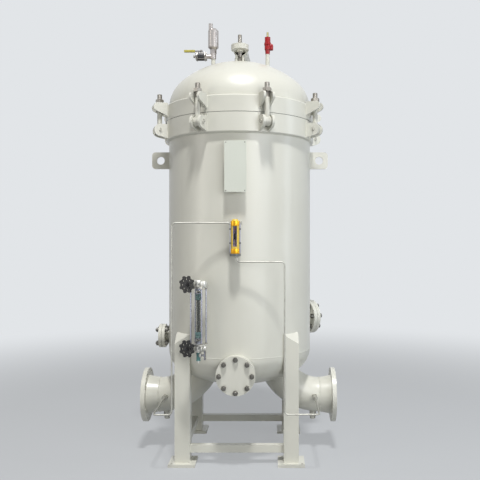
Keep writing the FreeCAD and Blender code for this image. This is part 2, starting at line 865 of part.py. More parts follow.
def gauge_body():
    """Cylindrical body with a bevelled crown, a wide foot, a window slot and the pointer's bore."""
    body = lathe([(0, 0), (gauge_foot_r, 0), (gauge_foot_r, gauge_foot_h), (gauge_r, gauge_foot_h),
                  (gauge_r, gauge_h - gauge_crown), (gauge_r - gauge_crown, gauge_h), (0, gauge_h)])
    slot = block(-window_w / 2, window_w / 2, -gauge_foot_r, -slot_back, window_base, window_base + window_h)
    bore = rod(pointer_r + running_gap, V(0, 0, pointer_seat), UP,
               rest_gap + pointer_h + pointer_travel + side_gap)
    body = body.cut(slot).cut(bore)
    body.translate(V(0, -gauge_y, gauge_base_z))
    return [body]


def gauge_window():
    """Clear pane in the recess of the gauge's body."""
    front = window_depth - gauge_r
    pane = block(-window_w / 2, window_w / 2, front, front + window_t, window_base, window_base + window_h)
    pane.translate(V(0, -gauge_y, gauge_base_z))
    return [pane]


def gauge_pointer():
    """Magnetic follower that rides up its bore with the pressure difference."""
    low = gauge_base_z + pointer_seat + rest_gap + pointer_lift
    return [rod(pointer_r, V(0, -gauge_y, low), UP, pointer_h)]


def sight_point(u, w, z):
    """A point in the sight gauge's own frame: out of the shell, to the right, up."""
    return radial(sight_azimuth) * u + tangent(sight_azimuth) * w + V(0, 0, z)


def sight_valve(z, towards):
    """Offset gauge valve. The glass enters from above or below, at the side of the stem."""
    out = radial(sight_azimuth)
    right = tangent(sight_azimuth)
    start = shell_r - shell_wall
    nipple = rod(sight_nipple_r, sight_point(start, 0, z), out, sight_u - start)
    chest = rod(sight_chest_r, sight_point(sight_u - 1.5 * sight_chest_r, 0, z), out, 2.5 * sight_chest_r)
    arm = rod(sight_chest_r * 0.8, sight_point(sight_u, 0, z), right, sight_offset)
    boss = rod(sight_boss_r, sight_point(sight_u, sight_offset, z - towards * sight_boss_h / 2),
               UP * towards, sight_boss_h)
    packing = rod(sight_packing_r, sight_point(sight_u, sight_offset, z), UP * towards,
                  sight_boss_h / 2 + sight_packing_h)
    plate = sight_rod_plate(z + towards * sight_boss_h / 2, towards)
    bonnet_u = sight_u + sight_chest_r
    bonnet = aim(hexagon(bonnet_flats, bonnet_h), sight_point(bonnet_u, 0, z), out)
    valve = fuse([nipple, chest, arm, boss, packing, plate, bonnet])
    stem_hole = rod(stem_r + running_gap, sight_point(sight_u, 0, z), out, 2 * sight_chest_r + bonnet_h)
    glass_hole = rod(glass_r + slip_gap, sight_point(sight_u, sight_offset, z), UP * towards,
                     sight_boss_h + sight_packing_h)
    return valve.cut([stem_hole, glass_hole])


def sight_rod_plate(z, towards):
    """Small plate that holds the ends of the four guard rods."""
    half_u, half_w = rod_u + 2 * rod_r, rod_w + 2 * rod_r
    plate = Part.makeBox(2 * half_u, 2 * half_w, rod_plate_t, V(sight_u - half_u, sight_offset - half_w, 0))
    if towards < 0:
        plate.translate(V(0, 0, -rod_plate_t))
    plate.translate(V(0, 0, z))
    return around(plate, sight_azimuth)


def sight_valves():
    """Both gauge valves, the four guard rods between them and the drain cock's body."""
    low = sight_bottom_z + sight_boss_h / 2 + rod_plate_t
    high = sight_top_z - sight_boss_h / 2 - rod_plate_t
    rods = [rod(rod_r, sight_point(sight_u + su * rod_u, sight_offset + sw * rod_w, low), UP, high - low)
            for su in (-1, 1) for sw in (-1, 1)]
    lower = sight_valve(sight_bottom_z, 1)
    upper = sight_valve(sight_top_z, -1)
    cock_top = sight_bottom_z - sight_boss_h / 2
    body = rod(drain_r, sight_point(sight_u, sight_offset, cock_top), DOWN, drain_h)
    spout = rod(drain_r * 0.6, sight_point(sight_u, sight_offset, cock_top - drain_h), DOWN, drain_r)
    side = rod(drain_r * 0.8, sight_point(sight_u, sight_offset, cock_top - drain_handle_z),
               tangent(sight_azimuth), 2 * drain_r)
    cock = fuse([body, spout, side])
    hole = rod(stem_r + running_gap, sight_point(sight_u, sight_offset + drain_r / 2, cock_top - drain_handle_z),
               tangent(sight_azimuth), 2 * drain_r)
    return [lower, upper] + rods + [cock.cut(hole)]


def drain_handle():
    """Bar handle on the cock's plug, which turns about a level axis."""
    z = sight_bottom_z - sight_boss_h / 2 - drain_handle_z
    right = tangent(sight_azimuth)
    start = sight_offset + drain_r / 2 + rest_gap
    stem = rod(stem_r, sight_point(sight_u, start, z), right, drain_handle_out - start + sight_offset)
    half = drain_handle_t / 2
    bar = Part.makeBox(drain_handle_t * 1.5, drain_handle_t, drain_handle_length,
                       V(sight_u - 0.75 * drain_handle_t, sight_offset + drain_handle_out - half,
                         z - drain_handle_length / 2))
    return [fuse([stem, around(bar, sight_azimuth)])]


def sight_glass():
    """Gauge glass in its packings and the clear shield around it."""
    low = sight_bottom_z + rest_gap
    high = sight_top_z - rest_gap
    glass = tube(glass_r, glass_wall, sight_point(sight_u, sight_offset, low), UP, high - low)
    shield_low = sight_bottom_z + sight_boss_h / 2 + rod_plate_t
    shield_high = sight_top_z - sight_boss_h / 2 - rod_plate_t
    shield = tube(shield_r, shield_wall, sight_point(sight_u, sight_offset, shield_low), UP,
                  shield_high - shield_low)
    return [glass, shield]


def handwheel(z):
    """Lobed wheel with a ring of holes, fast on its stem."""
    disc = rod(wheel_r, V(0, 0, -wheel_t), UP, wheel_t)
    lobes = []
    holes = []
    for i in range(wheel_lobes):
        a = 2 * math.pi * i / wheel_lobes
        lobes.append(rod(wheel_lobe_r, V(wheel_r * math.cos(a), wheel_r * math.sin(a), -wheel_t), UP, wheel_t))
        b = a + math.pi / wheel_lobes
        holes.append(rod(wheel_hole_r, V(wheel_hole_circle * math.cos(b), wheel_hole_circle * math.sin(b),
                                         -wheel_t), UP, wheel_t))
    hub = rod(wheel_hub_r, V(0, 0, -wheel_hub_t), UP, wheel_hub_t + stem_r)
    stem_length = wheel_u - sight_u - rest_gap
    stem = rod(stem_r, V(0, 0, -stem_length), UP, stem_length)
    wheel = fuse([disc] + lobes).cut(holes)
    return [aim(fuse([wheel, hub, stem]), sight_point(wheel_u, 0, z), radial(sight_azimuth))]


def davit_post():
    """Pipe davit: post, elbow and arm, the round nose with its bush, and two brackets on the shell."""
    out = radial(davit_azimuth)
    r = davit_pipe_d / 2
    arm_length = davit_radius - davit_elbow_r - davit_arm_start
    arm = tube(r, davit_pipe_wall, out * davit_arm_start + V(0, 0, davit_arm_z), out, arm_length)
    nose = rod(nose_r, V(0, 0, nose_base_z), UP, nose_h)
    arm = arm.cut(nose)
    bush = rod(screw_d / 2 + side_gap + bush_wall, V(0, 0, nose_base_z - bush_drop), UP, bush_drop)
    nose = fuse([nose, bush]).cut(rod(screw_d / 2 + side_gap, V(0, 0, nose_base_z - bush_drop), UP,
                                      nose_h + bush_drop))
    centre = V(davit_radius - davit_elbow_r, 0, davit_arm_z - davit_elbow_r)
    ring = Part.Face(Part.Wire([Part.Circle(centre + V(0, 0, davit_elbow_r), V(1, 0, 0), r).toShape()]))
    bore = Part.Face(Part.Wire([Part.Circle(centre + V(0, 0, davit_elbow_r), V(1, 0, 0),
                                            r - davit_pipe_wall).toShape()]))
    elbow = ring.cut(bore).Faces[0].revolve(centre, V(0, 1, 0), 90)
    elbow = around(elbow, davit_azimuth)
    post_top = davit_arm_z - davit_elbow_r
    post = tube(r, davit_pipe_wall, out * davit_radius + V(0, 0, post_top), DOWN, davit_post_length)
    return [arm, nose, elbow, post] + davit_brackets()


def davit_brackets():
    """Upper guide bracket and lower thrust bracket, each a rounded plate on a rib."""
    post_low = davit_arm_z - davit_elbow_r - davit_post_length
    hole_r = davit_pipe_d / 2 + slip_gap
    end_r = davit_bracket_w / 2
    half_t = davit_bracket_t / 2
    plates = []
    for z, bored in ((shell_top_z - davit_bracket_drop, True), (post_low - davit_bracket_t, False)):
        bar = block(shell_r - end_r, davit_radius, -end_r, end_r, z, z + davit_bracket_t)
        disc = rod(end_r, V(davit_radius, 0, z), UP, davit_bracket_t)
        rib_end = davit_radius - davit_pipe_d / 2 - davit_bracket_t
        rib = Part.Face(Part.makePolygon([V(shell_r - end_r, -half_t, z), V(rib_end, -half_t, z),
                                          V(shell_r, -half_t, z - davit_rib_h),
                                          V(shell_r - end_r, -half_t, z - davit_rib_h),
                                          V(shell_r - end_r, -half_t, z)])).extrude(V(0, davit_bracket_t, 0))
        plate = fuse([bar, disc, rib])
        if bored:
            plate = plate.cut(rod(hole_r, V(davit_radius, 0, z), UP, davit_bracket_t))
        plate = plate.cut(rod(shell_r, V(0, 0, z - 2 * davit_rib_h), UP, 4 * davit_rib_h))
        plates.append(around(plate, davit_azimuth))
    return plates


def lift_clevis():
    """Two ears on the dome's crown, their pin and the lifting screw that hangs from it."""
    pieces = []
    dome = head_cap(shell_r, dome_height, dome_knuckle, dome_base_z)
    ear_w = (clevis_w - clevis_gap) / 2
    for side in (-1, 1):
        x0 = side * (clevis_gap / 2 + ear_w / 2) - ear_w / 2
        ear = block(x0, x0 + ear_w, -clevis_depth / 2, clevis_depth / 2, dome_top_z - clevis_depth,
                    clevis_top_z)
        ear = ear.cut([dome, rod(clevis_pin_r + slip_gap, V(x0, 0, clevis_pin_z), RIGHT, ear_w)])
        pieces.append(ear)
    pin = rod(clevis_pin_r, V(-clevis_w / 2 - pin_head, 0, clevis_pin_z), RIGHT, clevis_w + 2 * pin_head)
    eye = rod(screw_eye_r, V(-screw_eye_t / 2, 0, clevis_pin_z), RIGHT, screw_eye_t)
    shaft = rod(screw_d / 2, V(0, 0, clevis_pin_z), UP,
                nose_top_z + jack_nut_h + screw_end - clevis_pin_z)
    screw = fuse([eye, shaft])
    screw = screw.cut(rod(clevis_pin_r + slip_gap, V(-screw_eye_t, 0, clevis_pin_z), RIGHT, 2 * screw_eye_t))
    return pieces + [pin, screw]


def jack_nut():
    nut = hexagon(jack_nut_flats, jack_nut_h, screw_d / 2 + running_gap)
    nut.translate(V(0, 0, nose_top_z + rest_gap))
    return [nut]


def dome():
    shell = head_cap(shell_r, dome_height, dome_knuckle, dome_base_z, shell_wall)
    return [shell.cut(dome_bores())]


def top_risers():
    """Painted pipe nipples under the air eliminator and the relief valve."""
    inside = head_cap(shell_inner_r, dome_height - shell_wall, dome_knuckle - shell_wall, dome_base_z)
    low = dome_base_z + dome_height / 2
    risers = []
    for x, top in ((vent_x, vent_riser_top), (relief_x, relief_base_z)):
        riser = tube(riser_r, riser_r / 4, V(x, 0, low), UP, top - low)
        risers.append(riser.cut(inside))
    return risers


def air_eliminator():
    """Tee, union and float body with its outlet set off to one side."""
    z = vent_riser_top
    tee = rod(tee_r, V(vent_x, 0, z), UP, tee_h)
    branch = rod(tee_branch_r, V(vent_x, 0, z + tee_h / 2), LEFT, tee_r + tee_branch)
    tee = fuse([tee, branch])
    union = hexagon(union_flats, union_h)
    union.translate(V(vent_x, 0, z + tee_h))
    base = z + tee_h + union_h
    top = base + eliminator_cone + eliminator_h
    body = lathe([(0, 0), (union_flats / 2, 0), (eliminator_r, eliminator_cone),
                  (eliminator_r, eliminator_h - eliminator_cone),
                  (eliminator_r - eliminator_cone, eliminator_h), (0, eliminator_h)])
    body.translate(V(vent_x, 0, base))
    outlet = rod(eliminator_outlet_r, V(vent_x - eliminator_offset, 0, base + eliminator_h / 2), UP,
                 eliminator_h / 2 + eliminator_outlet_h)
    drain = rod(eliminator_outlet_r * 0.6, V(vent_x - eliminator_offset, 0, top - eliminator_cone), UP,
                eliminator_outlet_h * 2)
    return [tee, union, fuse([body, outlet]).cut(drain)]


def valve_centre():
    """Middle of the vent's ball valve, on the tee's branch."""
    x = vent_x - tee_r - tee_branch - valve_end_w - valve_w / 2
    return V(x, 0, vent_riser_top + tee_h / 2)


def vent_valve_body():
    """Three-piece ball valve on the tee's branch, with its outlet stub and bonnet."""
    centre = valve_centre()
    start = centre - V(valve_w / 2, 0, 0)
    middle = rod(valve_r, start, RIGHT, valve_w)
    ends = [aim(hexagon(2 * valve_end_r * math.cos(math.pi / 6), valve_end_w), base, direction)
            for base, direction in ((start, LEFT), (start + V(valve_w, 0, 0), RIGHT))]
    stub = rod(valve_stub_r, start - V(valve_end_w, 0, 0), LEFT, valve_stub)
    bonnet = rod(2 * lever_stem_r, centre, UP, lever_z + lever_t / 2)
    hole = rod(lever_stem_r + running_gap, centre + V(0, 0, lever_z / 2), UP, lever_z)
    return [fuse([middle, stub, bonnet] + ends).cut(hole)]


def vent_lever():
    """Flat lever with a sleeve grip. It lies along the pipe when the valve is open."""
    centre = valve_centre()
    base = centre + V(0, 0, valve_end_r + side_gap)
    stem_low = lever_z / 2 + rest_gap
    stem = rod(lever_stem_r, centre + V(0, 0, stem_low), UP, valve_end_r + side_gap - stem_low)
    bar = block(base.x - lever_length, base.x + lever_w / 2, -lever_w / 2, lever_w / 2,
                base.z, base.z + lever_t)
    grip = block(base.x - lever_length, base.x - lever_length + grip_length, -lever_w / 2 - 1.5,
                 lever_w / 2 + 1.5, base.z + lever_t / 2 - grip_t / 2, base.z + lever_t / 2 + grip_t / 2)
    return [fuse([stem, bar, grip])]


def relief_valve_body():
    """Angle relief valve with its outlet turned down at the side."""
    base = V(relief_x, 0, relief_base_z)
    body = lathe([(0, 0), (relief_foot_r, 0), (relief_foot_r + 3, relief_foot_h), (relief_body_r, relief_foot_h),
                  (relief_body_r, relief_foot_h + relief_body_h),
                  (relief_bonnet_r, relief_foot_h + relief_body_h),
                  (relief_bonnet_r, relief_foot_h + relief_body_h + relief_bonnet_h),
                  (0, relief_foot_h + relief_body_h + relief_bonnet_h)])
    body.translate(base)
    port = base + V(0, 0, relief_foot_h + relief_body_h / 2)
    arm = rod(relief_outlet_r, port, RIGHT, relief_outlet_x)
    bend = Part.makeSphere(relief_outlet_r, port + V(relief_outlet_x, 0, 0))
    outlet = rod(relief_outlet_r, port + V(relief_outlet_x, 0, 0), DOWN, relief_outlet_drop)
    mouth = rod(relief_outlet_r * 0.7, port + V(relief_outlet_x, 0, -relief_outlet_r / 2), DOWN,
                relief_outlet_drop)
    shape = fuse([body, arm, bend, outlet]).cut(mouth)
    top = relief_base_z + relief_foot_h + relief_body_h + relief_bonnet_h
    hole = rod(relief_stem_r + running_gap, V(relief_x, 0, top - relief_stem_in), UP, relief_stem_in)
    return [shape.cut(hole)]


def relief_stem():
    """Brass stem that rises when the valve opens."""
    top = relief_base_z + relief_foot_h + relief_body_h + relief_bonnet_h
    low = top - relief_stem_in + rest_gap
    return [rod(relief_stem_r, V(relief_x, 0, low), UP, relief_stem_up + relief_stem_in - rest_gap)]


def cartridge_spots():
    """Centre points of the coalescer and separator cartridges on the deck."""
    outer = [radial(360.0 / coalescer_count * (i + 0.5)) * coalescer_circle for i in range(coalescer_count)]
    inner = [radial(360.0 / separator_count * (i + 0.5)) * separator_circle for i in range(separator_count)]
    return outer, inner


def cartridge(height):
    """Element with two end caps and a hold-down stud on top."""
    body = lathe([(0, 0), (cap_r, 0), (cap_r, cap_h), (cartridge_r, cap_h), (cartridge_r, height - cap_h),
                  (cap_r, height - cap_h), (cap_r, height), (tie_r, height), (tie_r, height + tie_h),
                  (0, height + tie_h)])
    return body


def coalescer_cartridges():
    element = cartridge(coalescer_h)
    pieces = []
    for spot in cartridge_spots()[0]:
        one = element.copy()
        one.translate(spot + V(0, 0, deck_top_z))
        pieces.append(one)
    return pieces


def separator_cartridges():
    element = cartridge(separator_h)
    pieces = []
    for spot in cartridge_spots()[1]:
        one = element.copy()
        one.translate(spot + V(0, 0, deck_top_z))
        pieces.append(one)
    return pieces


def deck_plate():
    """Tube sheet on a welded ledge, with a port under every cartridge."""
    plate = rod(shell_inner_r - side_gap / 2, V(0, 0, deck_z), UP, deck_t)
    outer, inner = cartridge_spots()
    ports = [rod(cartridge_r / 3, spot + V(0, 0, deck_z), UP, deck_t) for spot in outer + inner]
    ledge = tube(shell_inner_r, deck_ledge_w, V(0, 0, deck_z - deck_ledge_t), UP, deck_ledge_t)
    return [plate.cut(ports), ledge]


def write(name, solids):
    """One file per node, holding its separate solids."""
    shape = solids[0] if len(solids) == 1 else Part.makeCompound(solids)
    shape.exportStep("parts/" + name + ".step")
    print(name, len(shape.Solids), "solids,", round(shape.Volume / 1000.0), "cm3,", shape.isValid())


def main():
    os.makedirs("parts", exist_ok=True)
    makers = [shell_course, bottom_head, shell_ring, lower_ears, hinge_pins, closure_gasket, support_legs,
              base_plates, leg_braces, pipe_fittings, nozzle_necks, blind_flanges, flange_studs,
              lifting_lugs, nameplate, gauge_bracket, gauge_body, gauge_window, gauge_pointer,
              gauge_tubing, sight_valves, sight_glass, drain_handle, davit_post, jack_nut, deck_plate,
              coalescer_cartridges, separator_cartridges, dome, head_ring, upper_ears, lift_clevis,
              top_risers, air_eliminator, vent_valve_body, vent_lever, relief_valve_body, relief_stem]
    for maker in makers:
        write(maker.__name__, maker())
    for name, side in (("inlet", -1), ("outlet", 1)):
        write(name + "_elbow", pipe_elbow(side))
        write(name + "_flange", pipe_flange(side))
    write("handwheel_upper", handwheel(sight_top_z))
    write("handwheel_lower", handwheel(sight_bottom_z))
    bolt, nut = swing_bolt(), swing_nut()
    for number, azimuth in enumerate(bolt_azimuths, 1):
        write("swing_bolt_%d" % number, [around(bolt, azimuth)])
        write("swing_nut_%d" % number, [around(nut, azimuth)])


main()
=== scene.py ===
# %% [markdown]
# # A vertical coalescer separator housing
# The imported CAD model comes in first. It already has every plate, pipe and bolt at its place, in metres,
# so this lesson adds what CAD leaves out: paint, brushed steel, glass, threads, welds and small trim.

# %% Load the frame
import bmesh
import bpy
import json
import math
from mathutils import Matrix, Vector

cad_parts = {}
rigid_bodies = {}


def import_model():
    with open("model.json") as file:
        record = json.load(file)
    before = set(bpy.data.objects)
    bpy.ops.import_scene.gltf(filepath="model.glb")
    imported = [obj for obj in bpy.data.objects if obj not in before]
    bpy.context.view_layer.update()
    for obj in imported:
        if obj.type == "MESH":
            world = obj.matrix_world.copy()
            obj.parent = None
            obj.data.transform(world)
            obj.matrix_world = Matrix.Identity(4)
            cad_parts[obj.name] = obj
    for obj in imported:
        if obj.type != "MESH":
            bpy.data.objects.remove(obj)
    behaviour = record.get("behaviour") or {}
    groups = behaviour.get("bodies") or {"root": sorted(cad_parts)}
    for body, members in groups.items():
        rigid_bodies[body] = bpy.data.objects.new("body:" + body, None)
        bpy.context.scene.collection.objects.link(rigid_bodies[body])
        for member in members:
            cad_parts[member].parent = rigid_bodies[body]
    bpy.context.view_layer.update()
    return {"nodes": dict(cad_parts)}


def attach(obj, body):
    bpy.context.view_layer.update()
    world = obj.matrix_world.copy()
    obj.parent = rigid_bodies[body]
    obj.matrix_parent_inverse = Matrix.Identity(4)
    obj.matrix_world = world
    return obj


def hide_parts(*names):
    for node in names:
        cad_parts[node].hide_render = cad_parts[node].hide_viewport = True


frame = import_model()
nodes = frame["nodes"]

# %% [markdown]
# ## Working in millimetres
# The drawing sizes are in millimetres and Blender works in metres, so one factor turns them round.
# Azimuths run from the front, which looks along -Y, towards +X, as on the drawing.

# %% Units and directions
MM = 0.001
UP = Vector((0, 0, 1))


def mm(x, y, z):
    """A point given in millimetres."""
    return Vector((x, y, z)) * MM


def radial(azimuth):
    a = math.radians(azimuth)
    return Vector((math.sin(a), -math.cos(a), 0))


def tangent(azimuth):
    a = math.radians(azimuth)
    return Vector((math.cos(a), math.sin(a), 0))


def place(base, direction=UP):
    """Matrix that stands a shape modelled along +Z on a base point, along a direction."""
    turn = UP.rotation_difference(direction).to_matrix().to_4x4()
    return Matrix.Translation(base) @ turn


print("one metre is", 1 / MM, "units of the drawing")

# %% [markdown]
# ## Node trees as plain expressions
# Materials and Geometry Nodes are both graphs. Drawing them by hand in a script takes many lines, so a
# `Wire` stands for one output socket, and Python's operators on it add the Math nodes. Everything else
# comes from one method, `add`.

# %% A wire and a graph
def operator(operation, swapped=False):
    """Method of a wire that adds a Math node. With swapped, the wire is the second of the two values."""
    def method(self, other):
        return self.math(operation, other, self) if swapped else self.math(operation, self, other)
    return method


class Wire:
    """A value that flows through a node tree."""

    __add__ = operator("ADD")
    __radd__ = operator("ADD", swapped=True)
    __sub__ = operator("SUBTRACT")
    __rsub__ = operator("SUBTRACT", swapped=True)
    __mul__ = operator("MULTIPLY")
    __rmul__ = operator("MULTIPLY", swapped=True)
    __truediv__ = operator("DIVIDE")
    __pow__ = operator("POWER")
    __gt__ = operator("GREATER_THAN")
    __lt__ = operator("LESS_THAN")
    least = operator("MINIMUM")

    def __init__(self, graph, node, out=0):
        self.graph = graph
        self.node = node
        self.socket = node.outputs[out]

    def also(self, out):
        """Another output of the same node."""
        return Wire(self.graph, self.node, out)

    def math(self, operation, *values):
        return self.graph.add("ShaderNodeMath", {"operation": operation}, dict(enumerate(values)))


class Graph:
    """A node tree that is built by calls."""

    def __init__(self, tree):
        self.tree = tree

    def add(self, kind, settings=None, inputs=None, out=0):
        """One node: its settings first, then the values or wires of its sockets."""
        node = self.tree.nodes.new(kind)
        for name, value in (settings or {}).items():
            setattr(node, name, value)
        for key, value in (inputs or {}).items():
            if isinstance(value, Wire):
                self.tree.links.new(value.socket, node.inputs[key])
            else:
                node.inputs[key].default_value = value
        return Wire(self, node, out) if node.outputs else None


print("wires and graphs are ready")

# %% [markdown]
# ## Camera
# The photograph looks level at the vessel, a little from its right, from about four metres. The flange
# sizes and the ellipses of the closure rings gave that place. The lens is longer than the photograph's,
# so that this housing alone fills the frame, and the sideways shift keeps the verticals upright.

# %% Camera
camera_place = mm(214, -4088, 1344)
focal_mm = 46.85
frame_shift = -0.068
camera_data = bpy.data.cameras.new("camera")
camera_data.lens = focal_mm
camera_data.sensor_width = 36.0
camera_data.shift_x = frame_shift
camera = bpy.data.objects.new("camera", camera_data)
camera.location = camera_place
camera.rotation_euler = (math.radians(90), 0, 0)
bpy.context.scene.collection.objects.link(camera)
bpy.context.scene.camera = camera
print("camera at", [round(c, 3) for c in camera.location])

# %% [markdown]
# ## Colours
# A colour read off a screen is in sRGB, while shader sockets take linear light.

# %% Colour helper
def srgb(red, green, blue):
    """Linear colour, with alpha, from screen values between 0 and 255."""
    def linear(value):
        c = value / 255
        return c / 12.92 if c <= 0.04045 else ((c + 0.055) / 1.055) ** 2.4
    return (linear(red), linear(green), linear(blue), 1.0)


pale_ground = srgb(226, 229, 232)
print("ground", [round(c, 2) for c in pale_ground])

# %% [markdown]
# ## Studio
# A plain pale floor and five lamps. A small strong one, high in front, casts the long soft shadows below
# the ears, the nameplate and the gauge, and wide weak ones fill the sides, a little warm at the left and
# cool at the right. The floor glows a little near the vessel and fades into the background with distance,
# so no horizon line cuts the picture. Only rays from the camera, and those in gloss and glass, see that
# glow and the background. The rest of the light is a weak even sky.

# %% Floor, background and lamps
vessel_middle = Vector((0, 0, 1.3))


def seen_directly(graph):
    """1 for camera, glossy and transmitted rays, 0 for the rays that light things."""
    path = graph.add("ShaderNodeLightPath", out="Is Camera Ray")
    total = path + path.also("Is Glossy Ray") + path.also("Is Transmission Ray")
    return total.least(1.0)


def cleared_graph(owner):
    """Empty graph of a world or a material."""
    owner.use_nodes = True
    owner.node_tree.nodes.clear()
    return Graph(owner.node_tree)


def build_world(sky, strength):
    world = bpy.data.worlds.new("studio")
    graph = cleared_graph(world)
    shown = graph.add("ShaderNodeBackground", inputs={"Color": pale_ground, "Strength": 1.0})
    lit = graph.add("ShaderNodeBackground", inputs={"Color": sky, "Strength": strength})
    both = graph.add("ShaderNodeMixShader", inputs={0: seen_directly(graph), 1: lit, 2: shown})
    graph.add("ShaderNodeOutputWorld", inputs={"Surface": both})
    bpy.context.scene.world = world


def build_floor(reach, fade_from, fade_to, near_glow=0.45):
    mesh = bpy.data.meshes.new("studio_floor")
    bm = bmesh.new()
    bmesh.ops.create_circle(bm, cap_ends=True, radius=reach, segments=96)
    bm.to_mesh(mesh)
    bm.free()
    floor = bpy.data.objects.new("studio_floor", mesh)
    bpy.context.scene.collection.objects.link(floor)
    material = bpy.data.materials.new("floor")
    graph = cleared_graph(material)
    place_on_floor = graph.add("ShaderNodeTexCoord", out="Object")
    far = graph.add("ShaderNodeVectorMath", {"operation": "LENGTH"}, {0: place_on_floor}, out="Value")
    fade = graph.add("ShaderNodeMapRange", {"interpolation_type": "SMOOTHSTEP"},
                     {"Value": far, "From Min": fade_from, "From Max": fade_to})
    matt = graph.add("ShaderNodeBsdfDiffuse", inputs={"Color": srgb(160, 162, 164)})
    glow = graph.add("ShaderNodeEmission", inputs={"Color": pale_ground, "Strength": 1.0})
    glowing = (fade * (1 - near_glow) + near_glow) * seen_directly(graph)
    both = graph.add("ShaderNodeMixShader", inputs={0: glowing, 1: matt, 2: glow})
    graph.add("ShaderNodeOutputMaterial", inputs={"Surface": both})
    floor.data.materials.append(material)


def soft_lamp(name, location, watts, wide, tall, tint=(1.0, 1.0, 1.0)):
    lamp = bpy.data.lights.new(name, "AREA")
    lamp.shape = "RECTANGLE"
    lamp.energy = watts
    lamp.color = tint
    lamp.size = wide
    lamp.size_y = tall
    holder = bpy.data.objects.new(name, lamp)
    holder.location = location
    aim = vessel_middle - Vector(location)
    holder.rotation_euler = aim.to_track_quat("-Z", "Y").to_euler()
    bpy.context.scene.collection.objects.link(holder)


build_world(sky=(0.9, 0.95, 1.0, 1.0), strength=0.08)
build_floor(reach=30.0, fade_from=2.0, fade_to=6.0)
soft_lamp("key", (0.5, -4.3, 11.0), watts=1020, wide=1.0, tall=1.0)
soft_lamp("front", (2.2, -4.8, 2.2), watts=72, wide=2.0, tall=2.4)
soft_lamp("right fill", (3.0, -3.4, 2.2), watts=34, wide=1.0, tall=3.4, tint=(0.9, 0.95, 1.0))
soft_lamp("right edge", (4.6, -0.8, 2.2), watts=36, wide=0.6, tall=3.6, tint=(0.82, 0.9, 1.0))
soft_lamp("left fill", (-4.4, -2.8, 2.2), watts=46, wide=1.4, tall=3.4, tint=(1.0, 0.95, 0.87))
bpy.context.scene.view_settings.view_transform = "Standard"
print("studio built")

# %% [markdown]
# ## Surfaces
# Every finish starts from the Principled shader. `Surface` adds a graph to it, with the two things that
# nearly all of them need: Object coordinates in metres, and a fine bump.

# %% A surface
materials = {}


class Surface:
    """One material with its Principled shader and its graph. It is kept under its name."""

    def __init__(self, name, **settings):
        self.material = bpy.data.materials.new(name)
        materials[name] = self.material
        self.material.use_nodes = True
        self.tree = self.material.node_tree
        self.graph = Graph(self.tree)
        self.shader = self.tree.nodes["Principled BSDF"]
        for key, value in settings.items():
            self.shader.inputs[key.replace("_", " ")].default_value = value
        self.where = self.graph.add("ShaderNodeTexCoord", out="Object")

    def feed(self, socket, wire):
        self.tree.links.new(wire.socket, self.shader.inputs[socket])

    def noise(self, per_metre, detail=2.0, rough=0.5, stretch=(1, 1, 1)):
        """Cloudy value from 0 to 1 with so many lumps to the metre."""
        wide = self.graph.add("ShaderNodeMapping", inputs={"Vector": self.where, "Scale": stretch})
        return self.graph.add("ShaderNodeTexNoise", inputs={
            "Vector": wide, "Scale": per_metre, "Detail": detail, "Roughness": rough})

    def span(self, value, low, high):
        """Smooth step from 0 to 1 as a value goes between two limits."""
        return self.graph.add("ShaderNodeMapRange", {"interpolation_type": "SMOOTHSTEP"},
                              {"Value": value, "From Min": low, "From Max": high})

    def blend(self, factor, first, second):
        """Mix of two colours."""
        return self.graph.add("ShaderNodeMix", {"data_type": "RGBA"},
                              {0: factor, 6: first, 7: second}, out=2)

    def bump(self, height, depth):
        """Raise the surface by a height map that is so many metres deep."""
        self.feed("Normal", self.graph.add(
            "ShaderNodeBump", inputs={"Height": height, "Distance": depth, "Strength": 1.0}, out="Normal"))


print("surfaces can be made")

# %% [markdown]
# ## Paint
# The vessel is sprayed in a warm off-white. Sprayed paint has a faint orange peel, slow changes of tone
# over a large plate, and a little dust that settles in streaks. All three come from noise: fine for the
# peel, wide for the tone and stretched along Z for the streaks.

# %% Sprayed paints
def sprayed(name, colour, dusty, rough, peel=0.00012, coat=0.15, streaks=0.5):
    """Sprayed paint with orange peel, slow tone changes and faint streaks."""
    s = Surface(name, Coat_Weight=coat, Coat_Roughness=0.25)
    tone = s.span(s.noise(2.2, 3.0), 0.35, 0.7)
    runs = s.span(s.noise(14.0, 3.0, 0.6, (1.0, 1.0, 0.08)), 0.52, 0.8) * streaks
    specks = s.span(s.noise(240.0, 1.0), 0.72, 0.78) * 0.5
    soiled = (tone * 0.35 + runs + specks).least(1.0)
    s.feed("Base Color", s.blend(soiled, colour, dusty))
    s.feed("Roughness", rough + soiled * 0.12)
    s.bump(s.noise(330.0, 1.0) + s.noise(90.0, 1.0) * 0.6, peel)


sprayed("vessel_paint", srgb(210, 209, 198), srgb(199, 197, 185), rough=0.34, coat=0.3, streaks=0.3)
sprayed("bolt_paint", srgb(202, 201, 190), srgb(180, 178, 166), rough=0.36, streaks=0.8)
sprayed("valve_red", srgb(158, 3, 12), srgb(116, 2, 8), rough=0.36, coat=0.08)
sprayed("valve_black", srgb(34, 34, 36), srgb(58, 58, 60), rough=0.36)
sprayed("lever_grip", srgb(180, 170, 78), srgb(154, 144, 60), rough=0.45, coat=0.05)
sprayed("packing_teal", srgb(78, 122, 120), srgb(58, 96, 96), rough=0.35)
# The glass core is painted shade: a dark rod inside the sight glass that stands for the shade seen through
# it.
sprayed("glass_core", srgb(66, 68, 58), srgb(84, 86, 74), rough=0.2, peel=0.00001, streaks=0.2)
sprayed("gauge_frame", srgb(92, 94, 140), srgb(66, 68, 108), rough=0.35)
sprayed("grey_cap", srgb(92, 97, 97), srgb(66, 70, 70), rough=0.35)
sprayed("plate_metal", srgb(210, 213, 202), srgb(198, 201, 190), rough=0.42, coat=0.1, streaks=0.2)


